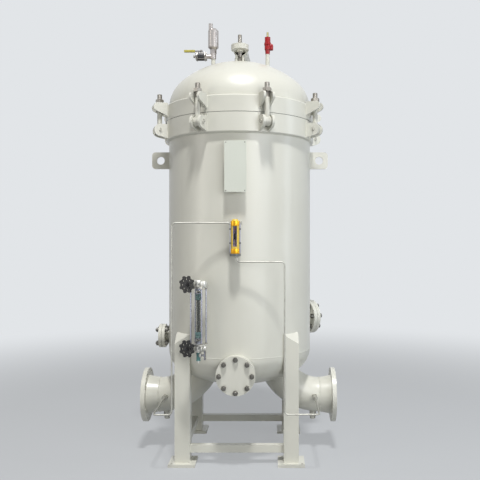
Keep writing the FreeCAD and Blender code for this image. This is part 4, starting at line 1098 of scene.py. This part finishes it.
for label, body, low_z, high_z in (("lower_ear_welds", "vessel", 1976.0, 2084.0),
                                   ("upper_ear_welds", "head", 2112.0, 2188.0)):
    ring.make(label, body, "vessel_paint", "shell_paint", smooth_angle=80,
              Source=pattern(label + "_row", ear_beads(low_z, high_z)), Count=bolt_count,
              Radius=ring_r * MM, Shift=ear_shift, Turn=(0, 0, 0), Place=(0, 0, 0))
print("beads at", 2 * bolt_count, "pairs of ears")

# %% [markdown]
# ## Machined flange faces
# The raised faces of the pipe flanges are left bare, with the fine rings that a lathe cuts. The rings are
# a bump that follows the distance from the pipe's axis.

# %% Raised faces
def machined(name, colour, worn, axis_z, per_metre):
    """Bare steel with fine rings round an axis along X at a height."""
    s = Surface(name, Metallic=1.0)
    parts = s.graph.add("ShaderNodeSeparateXYZ", inputs={0: s.where}, out="Y")
    up = parts.also("Z") - axis_z
    distance = (parts * parts + up * up) ** 0.5
    grooves = s.graph.add("ShaderNodeMath", {"operation": "SINE"}, {0: distance * per_metre})
    patches = s.span(s.noise(30.0, 3.0), 0.4, 0.75)
    s.feed("Base Color", s.blend(patches, colour, worn))
    s.feed("Roughness", 0.28 + patches * 0.14)
    s.bump(grooves, 0.0002)


pipe_bore_r = 101.3
raised_face_r = 135.0
face_x = 620.0
machined("machined_face", srgb(190, 188, 182), srgb(146, 142, 134), axis_z=pipe_axis_z * MM,
         per_metre=4000.0)
for label, side in (("inlet", -1), ("outlet", 1)):
    piece(label + "_machined_face", "vessel", "machined_face", "bare_steel",
          washer(crosswise(side * (face_x - 0.2), pipe_axis_z, side), pipe_bore_r, raised_face_r, 0.3,
                 segments=96))
print("faces at", face_x, "mm")

# %% [markdown]
# ## Differential pressure gauge
# The gauge is a turned yellow body with a flat front. Gold collars, steel strips down both sides with
# grey clips, and a small window with a scale make it the one bright thing on the front.

# %% Gauge trim
gauge_base_z = 1252.0
gauge_y = -520.0
gauge_r = 24.5
window_low = 1306.0
window_high = 1423.0
red_mark_z = 1403.0
clip_h = 9.0
clip_heights = (70.0, 150.0)


def at_gauge(x, y, z):
    """A point from the gauge's own axis and foot, in millimetres."""
    return Vector((x, gauge_y + y, gauge_base_z + z))


piece("gauge_side_strips", "vessel", "strip_steel", "bare_steel",
      *box_pair(at_gauge(24, -9, 17), at_gauge(31, 9, 186), bevel=2.0))
piece("gauge_clips", "vessel", "grey_cap", "pointer_black",
      *[clip for z in clip_heights
        for clip in box_pair(at_gauge(23, -12, z), at_gauge(33, 4, z + clip_h), bevel=1.5)])
for label, z in (("gauge_lower_collar", 13.5), ("gauge_upper_collar", 172.0)):
    piece(label, "vessel", "gauge_gold", "gauge_yellow",
          turned(place(at_gauge(0, 0, z) * MM),
                 [(gauge_r - 0.5, 0), (gauge_r + 1.6, 0.8), (gauge_r + 2.2, 3), (gauge_r + 2.2, 25),
                  (gauge_r + 1.6, 27.5), (gauge_r - 0.5, 28.5)], closed=True))
piece("gauge_end_cap", "vessel", "grey_cap", "gauge_yellow",
      turned(place(at_gauge(0, 0, -0.3) * MM),
             [(10, 0), (31.4, 0), (32.2, 1), (32.2, 13), (31.4, 13.8), (gauge_r - 2, 13.8)], closed=True))
print("gauge trim on", gauge_base_z, "mm")

# %% [markdown]
# The scale is a strip of even marks, so it comes from a tree as well: a line of points and one small bar.

# %% Gauge scale
def scale_recipe():
    """Even bars up a line, every fifth one longer."""
    recipe = Recipe("Scale", Count="Int", Step="Float", Wide="Float", Tall="Float", Start="Vector")
    g = recipe.graph
    index = g.add("GeometryNodeInputIndex")
    rise = g.add("ShaderNodeCombineXYZ", inputs={"Z": index * recipe.size("Step")})
    spot = g.add("ShaderNodeVectorMath", {"operation": "ADD"}, {0: rise, 1: recipe.size("Start")})
    points = g.add("GeometryNodePoints", inputs={"Count": recipe.size("Count"), "Position": spot})
    longer = 1.0 + 0.8 * (index.math("MODULO", index, 5.0) < 0.5)
    size = g.add("ShaderNodeCombineXYZ", inputs={
        "X": recipe.size("Wide") * longer, "Y": 0.0004, "Z": recipe.size("Tall")})
    bar = g.add("GeometryNodeMeshCube", inputs={"Size": (1.0, 1.0, 1.0)})
    copies = g.add("GeometryNodeInstanceOnPoints",
                   inputs={"Points": points, "Instance": bar, "Scale": size})
    recipe.end(copies)
    return recipe


mark_count = 21
mark_step = 5.0
scale = scale_recipe()
scale.make("gauge_scale_marks", "vessel", "pointer_black", "pointer_black", Count=mark_count,
           Step=mark_step * MM, Wide=1.6 * MM, Tall=0.9 * MM,
           Start=tuple(mm(-8.8, gauge_y - 12.2, window_low + 8)))
piece("gauge_scale_plates", "vessel", "gauge_frame", "gauge_yellow",
      *box_pair((6.8, gauge_y - 12.0, window_low + 0.4), (10.9, gauge_y - 10.6, window_high - 0.4),
                bevel=0.3))
piece("gauge_red_mark", "vessel", "pointer_red", "gauge_yellow",
      turned(place(mm(0.0, gauge_y - 9.0, red_mark_z), Vector((0, -1, 0))),
             [(0.4, 0), (3.4, 0), (3.4, 1.2), (0.4, 1.8)], closed=True, segments=24))
print("scale of", mark_count, "marks")

# %% [markdown]
# ## Sight gauge
# Two offset valves hold a glass between teal packing nuts, and each has a lobed black handwheel with a
# nut in its middle. All of it stands at one azimuth, so one helper turns sizes from the gauge's own
# directions into the vessel's.

# %% Packing nuts and wheel nuts
sight_azimuth = -27.0
sight_u = 545.0
sight_offset = 40.0
sight_low_z = 726.0
sight_high_z = 1091.0
wheel_u = 608.0
sleeve_from = 49.0
packing_from = 56.0
packing_r = 18.5


def sight_point(u, w, z):
    """A point from the vessel's axis: out, to the right and up, in millimetres."""
    return (radial(sight_azimuth) * u + tangent(sight_azimuth) * w + UP * z) * MM


def glass_axis(z, towards=1):
    """Matrix that stands a shape on the glass's axis, or hangs it there with towards -1."""
    return place(sight_point(sight_u, sight_offset, z), UP * towards)


def barrel_axis(w, z):
    """Matrix that lays a shape to the right along a valve's barrel."""
    return place(sight_point(sight_u, w, z), tangent(sight_azimuth))


for label, z, towards in (("lower", sight_low_z, 1), ("upper", sight_high_z, -1)):
    piece("packing_sleeve_" + label, "vessel", "chrome", "bare_steel",
          washer(glass_axis(z + towards * sleeve_from, towards), packing_r - 7, packing_r - 4, 10))
    piece("packing_nut_" + label, "vessel", "packing_teal", "bare_steel",
          turned(glass_axis(z + towards * packing_from, towards),
                 [(packing_r - 5, 0), (packing_r - 1, 0), (packing_r, 2), (packing_r, 8),
                  (packing_r - 1.6, 10), (packing_r - 1.6, 15), (packing_r, 17), (packing_r, 31),
                  (packing_r - 2, 34), (packing_r - 5, 34)], closed=True))
    piece("wheel_nut_" + label, "wheel_" + label, "valve_black", "wheel_black",
          hex_nut(place(sight_point(wheel_u, 0, z) + radial(sight_azimuth) * 5.2 * MM,
                        radial(sight_azimuth)), flats=15.0, height=6.0, bore_r=3.0))
print("packing nuts", packing_from, "mm from their valves")

# %% [markdown]
# Each valve is a cast barrel with a bell over the glass and a plug at its far end, so a turned casting is
# laid over the plainer CAD body. The drain cock under the lower one gets its teal sleeve and the round
# boss of its handle.

# %% Valve castings and drain cock
barrel_from = -16.0
barrel_r = 21.5
barrel_length = 90.0
bell_r = 25.0
drain_z = sight_low_z - 41.0
for label, z, towards, plug_r in (("lower", sight_low_z, 1, 12.5), ("upper", sight_high_z, -1, 20.0)):
    piece("valve_casting_" + label, "vessel", "valve_nickel", "bare_steel",
          turned(barrel_axis(barrel_from, z),
                 [(3, 0), (barrel_r - 3, 0), (barrel_r, 3), (barrel_r, barrel_length - 2),
                  (barrel_r - 1.5, barrel_length), (3, barrel_length)]),
          turned(barrel_axis(barrel_from + barrel_length, z),
                 [(3, -1), (plug_r, -1), (plug_r, 14), (plug_r - 2, 17), (plug_r - 7, 18.5), (3, 19)]),
          turned(glass_axis(z, towards),
                 [(3, -25), (13, -24.5), (20, -22), (bell_r - 1, -17), (bell_r, -11), (bell_r, 9),
                  (bell_r - 2, 12.4), (3, 12.4)]))
piece("drain_sleeve", "vessel", "packing_teal", "bare_steel",
      turned(glass_axis(sight_low_z - 28, -1),
             [(11.2, 0), (13.5, 0.5), (13.5, 8), (12, 10), (12, 43), (13.5, 44.5), (13.5, 46.5),
              (11.2, 47)], closed=True, segments=32))
piece("drain_boss", "vessel", "valve_nickel", "bare_steel",
      turned(barrel_axis(sight_offset + 10, drain_z),
             [(5.8, 0), (12.4, 0), (13.4, 1.2), (13.4, 10.5), (12, 12.4), (5.8, 12.4)],
             closed=True, segments=32))
print("drain cock at", drain_z, "mm")

# %% [markdown]
# Four guard rods stand round the glass, held by nuts at both ends. The glass is a clear tube with a
# dark core, which stands for the shade that is seen through a real one.

# %% Rod nuts and glass
rod_u = 23.0
rod_w = 37.0
glass_bore_r = 7.4
glass_r = 9.2
core_r = 6.8
glass_length = 275.0
glass_low = glass_axis(sight_low_z + 45)
for label, z in (("lower", sight_low_z + 23.2), ("upper", sight_high_z - 29.2)):
    piece("rod_nuts_" + label, "vessel", "stud_steel", "bare_steel",
          *[hex_nut(place(sight_point(sight_u + su * rod_u, sight_offset + sw * rod_w, z)),
                    flats=13.0, height=6.0, bore_r=4.05) for su, sw in corners])
piece("glass_tube", "vessel", "sight_tube", "window_glass",
      washer(glass_low, glass_bore_r, glass_r, glass_length, segments=32))
piece("glass_core", "vessel", "glass_core", "window_glass",
      rod(glass_low, core_r, glass_length, segments=32))
print("sight gauge between", sight_low_z, "and", sight_high_z, "mm")

# %% [markdown]
# ## Nameplate
# The plate is left bare. Four round rivets hold its corners.

# %% Nameplate rivets
plate_face_y = -511.0
plate_half_w = 63.5
plate_half_h = 147.5
plate_z = 1767.0
rivet_inset = 9.0
rivet_x = plate_half_w - rivet_inset
rivet_rise = plate_half_h - rivet_inset
piece("plate_rivets", "vessel", "stud_steel", "plate_metal",
      *[turned(place(mm(sx * rivet_x, plate_face_y, plate_z + sz * rivet_rise), Vector((0, -1, 0))),
               [(3.6, -0.5), (3.6, 0.3), (3.2, 1.2), (2.2, 1.9), (0.3, 2.2)], segments=20)
        for sx, sz in corners])
print("plate", 2 * plate_half_w, "by", 2 * plate_half_h, "mm")

# %% [markdown]
# ## Fittings on the dome
# The ball valve is built again from a black centre, two bare hexagon ends and four tie bolts. Its lever is
# a steel bar in a yellow sleeve. The relief valve gets the hexagon at the foot of its bonnet.

# %% Trim of the top fittings
valve_x = -253.0
valve_z = 2544.0
valve_half = 20.0
valve_r = 27.0
valve_end_w = 11.0
valve_end = valve_half + valve_end_w
valve_flats = 53.7
valve_end_bore_r = 9.0
tie_bolt_r = 3.4
tie_bolt_out = 25.0
tie_bolt_length = 70.0
tie_nut = {"flats": 11.0, "height": 5.0, "bore_r": 3.3}
lever_top = 38.0
lever_half_w = 9.0
lever_reach = 112.0
grip_length = 72.0
relief_x = 181.0
bonnet_z = 2618.0


def along(x):
    """Matrix that lays a turned shape along +X on the valve's axis."""
    return crosswise(valve_x + x, valve_z)


def over_valve(z=0.0):
    """Matrix that stands a shape above the middle of the valve."""
    return place(mm(valve_x, 0, valve_z + z))


piece("valve_centre", "head", "valve_black", "valve_black",
      drum(along(-valve_half), 3, valve_r, 2 * valve_half),
      turned(over_valve(), [(12, 0), (12, 22), (11, 23.5), (6.1, 23.5)], segments=32),
      replaces=["vent_valve_body"])
tie_angles = [math.radians(45 + 90 * turn) for turn in range(4)]
tie_spots = [Matrix.Translation(Vector((0, math.cos(a), math.sin(a))) * tie_bolt_out * MM)
             for a in tie_angles]
piece("valve_ends", "head", "fitting_steel", "bare_steel",
      hex_nut(along(-valve_end), valve_flats, valve_end_w, valve_end_bore_r),
      hex_nut(along(valve_half), valve_flats, valve_end_w, valve_end_bore_r),
      turned(along(-valve_end - 20.0), [(6.5, 0), (8.6, 0.8), (9.0, 2), (9.0, 21), (6.5, 21)],
             closed=True, segments=32),
      *[form for spot in tie_spots for form in (
          rod(spot @ along(-valve_end - 4.0), tie_bolt_r, tie_bolt_length, segments=16),
          hex_nut(spot @ along(valve_end), **tie_nut),
          hex_nut(spot @ along(-valve_end - tie_nut["height"]), **tie_nut))])
piece("lever_bar", "lever", "fitting_steel", "lever_yellow",
      rod(over_valve(12.4), 5.9, 20, segments=24),
      bevelled_box((-lever_reach + 4, -lever_half_w, lever_top - 6), (lever_half_w, lever_half_w, lever_top),
                   1.2, over_valve()),
      hex_nut(over_valve(lever_top), flats=14.0, height=5.0, bore_r=3.0),
      replaces=["vent_lever"])
piece("lever_sleeve", "lever", "lever_grip", "lever_yellow",
      bevelled_box((-lever_reach, -lever_half_w - 1.5, lever_top - 9.5),
                   (grip_length - lever_reach, lever_half_w + 1.5, lever_top + 3.5), 3.0, over_valve()))
piece("relief_flange", "head", "valve_red", "valve_red",
      hex_nut(place(mm(relief_x, 0, bonnet_z)), flats=44.0, height=12.0, bore_r=19.0))
print("top fittings trimmed")
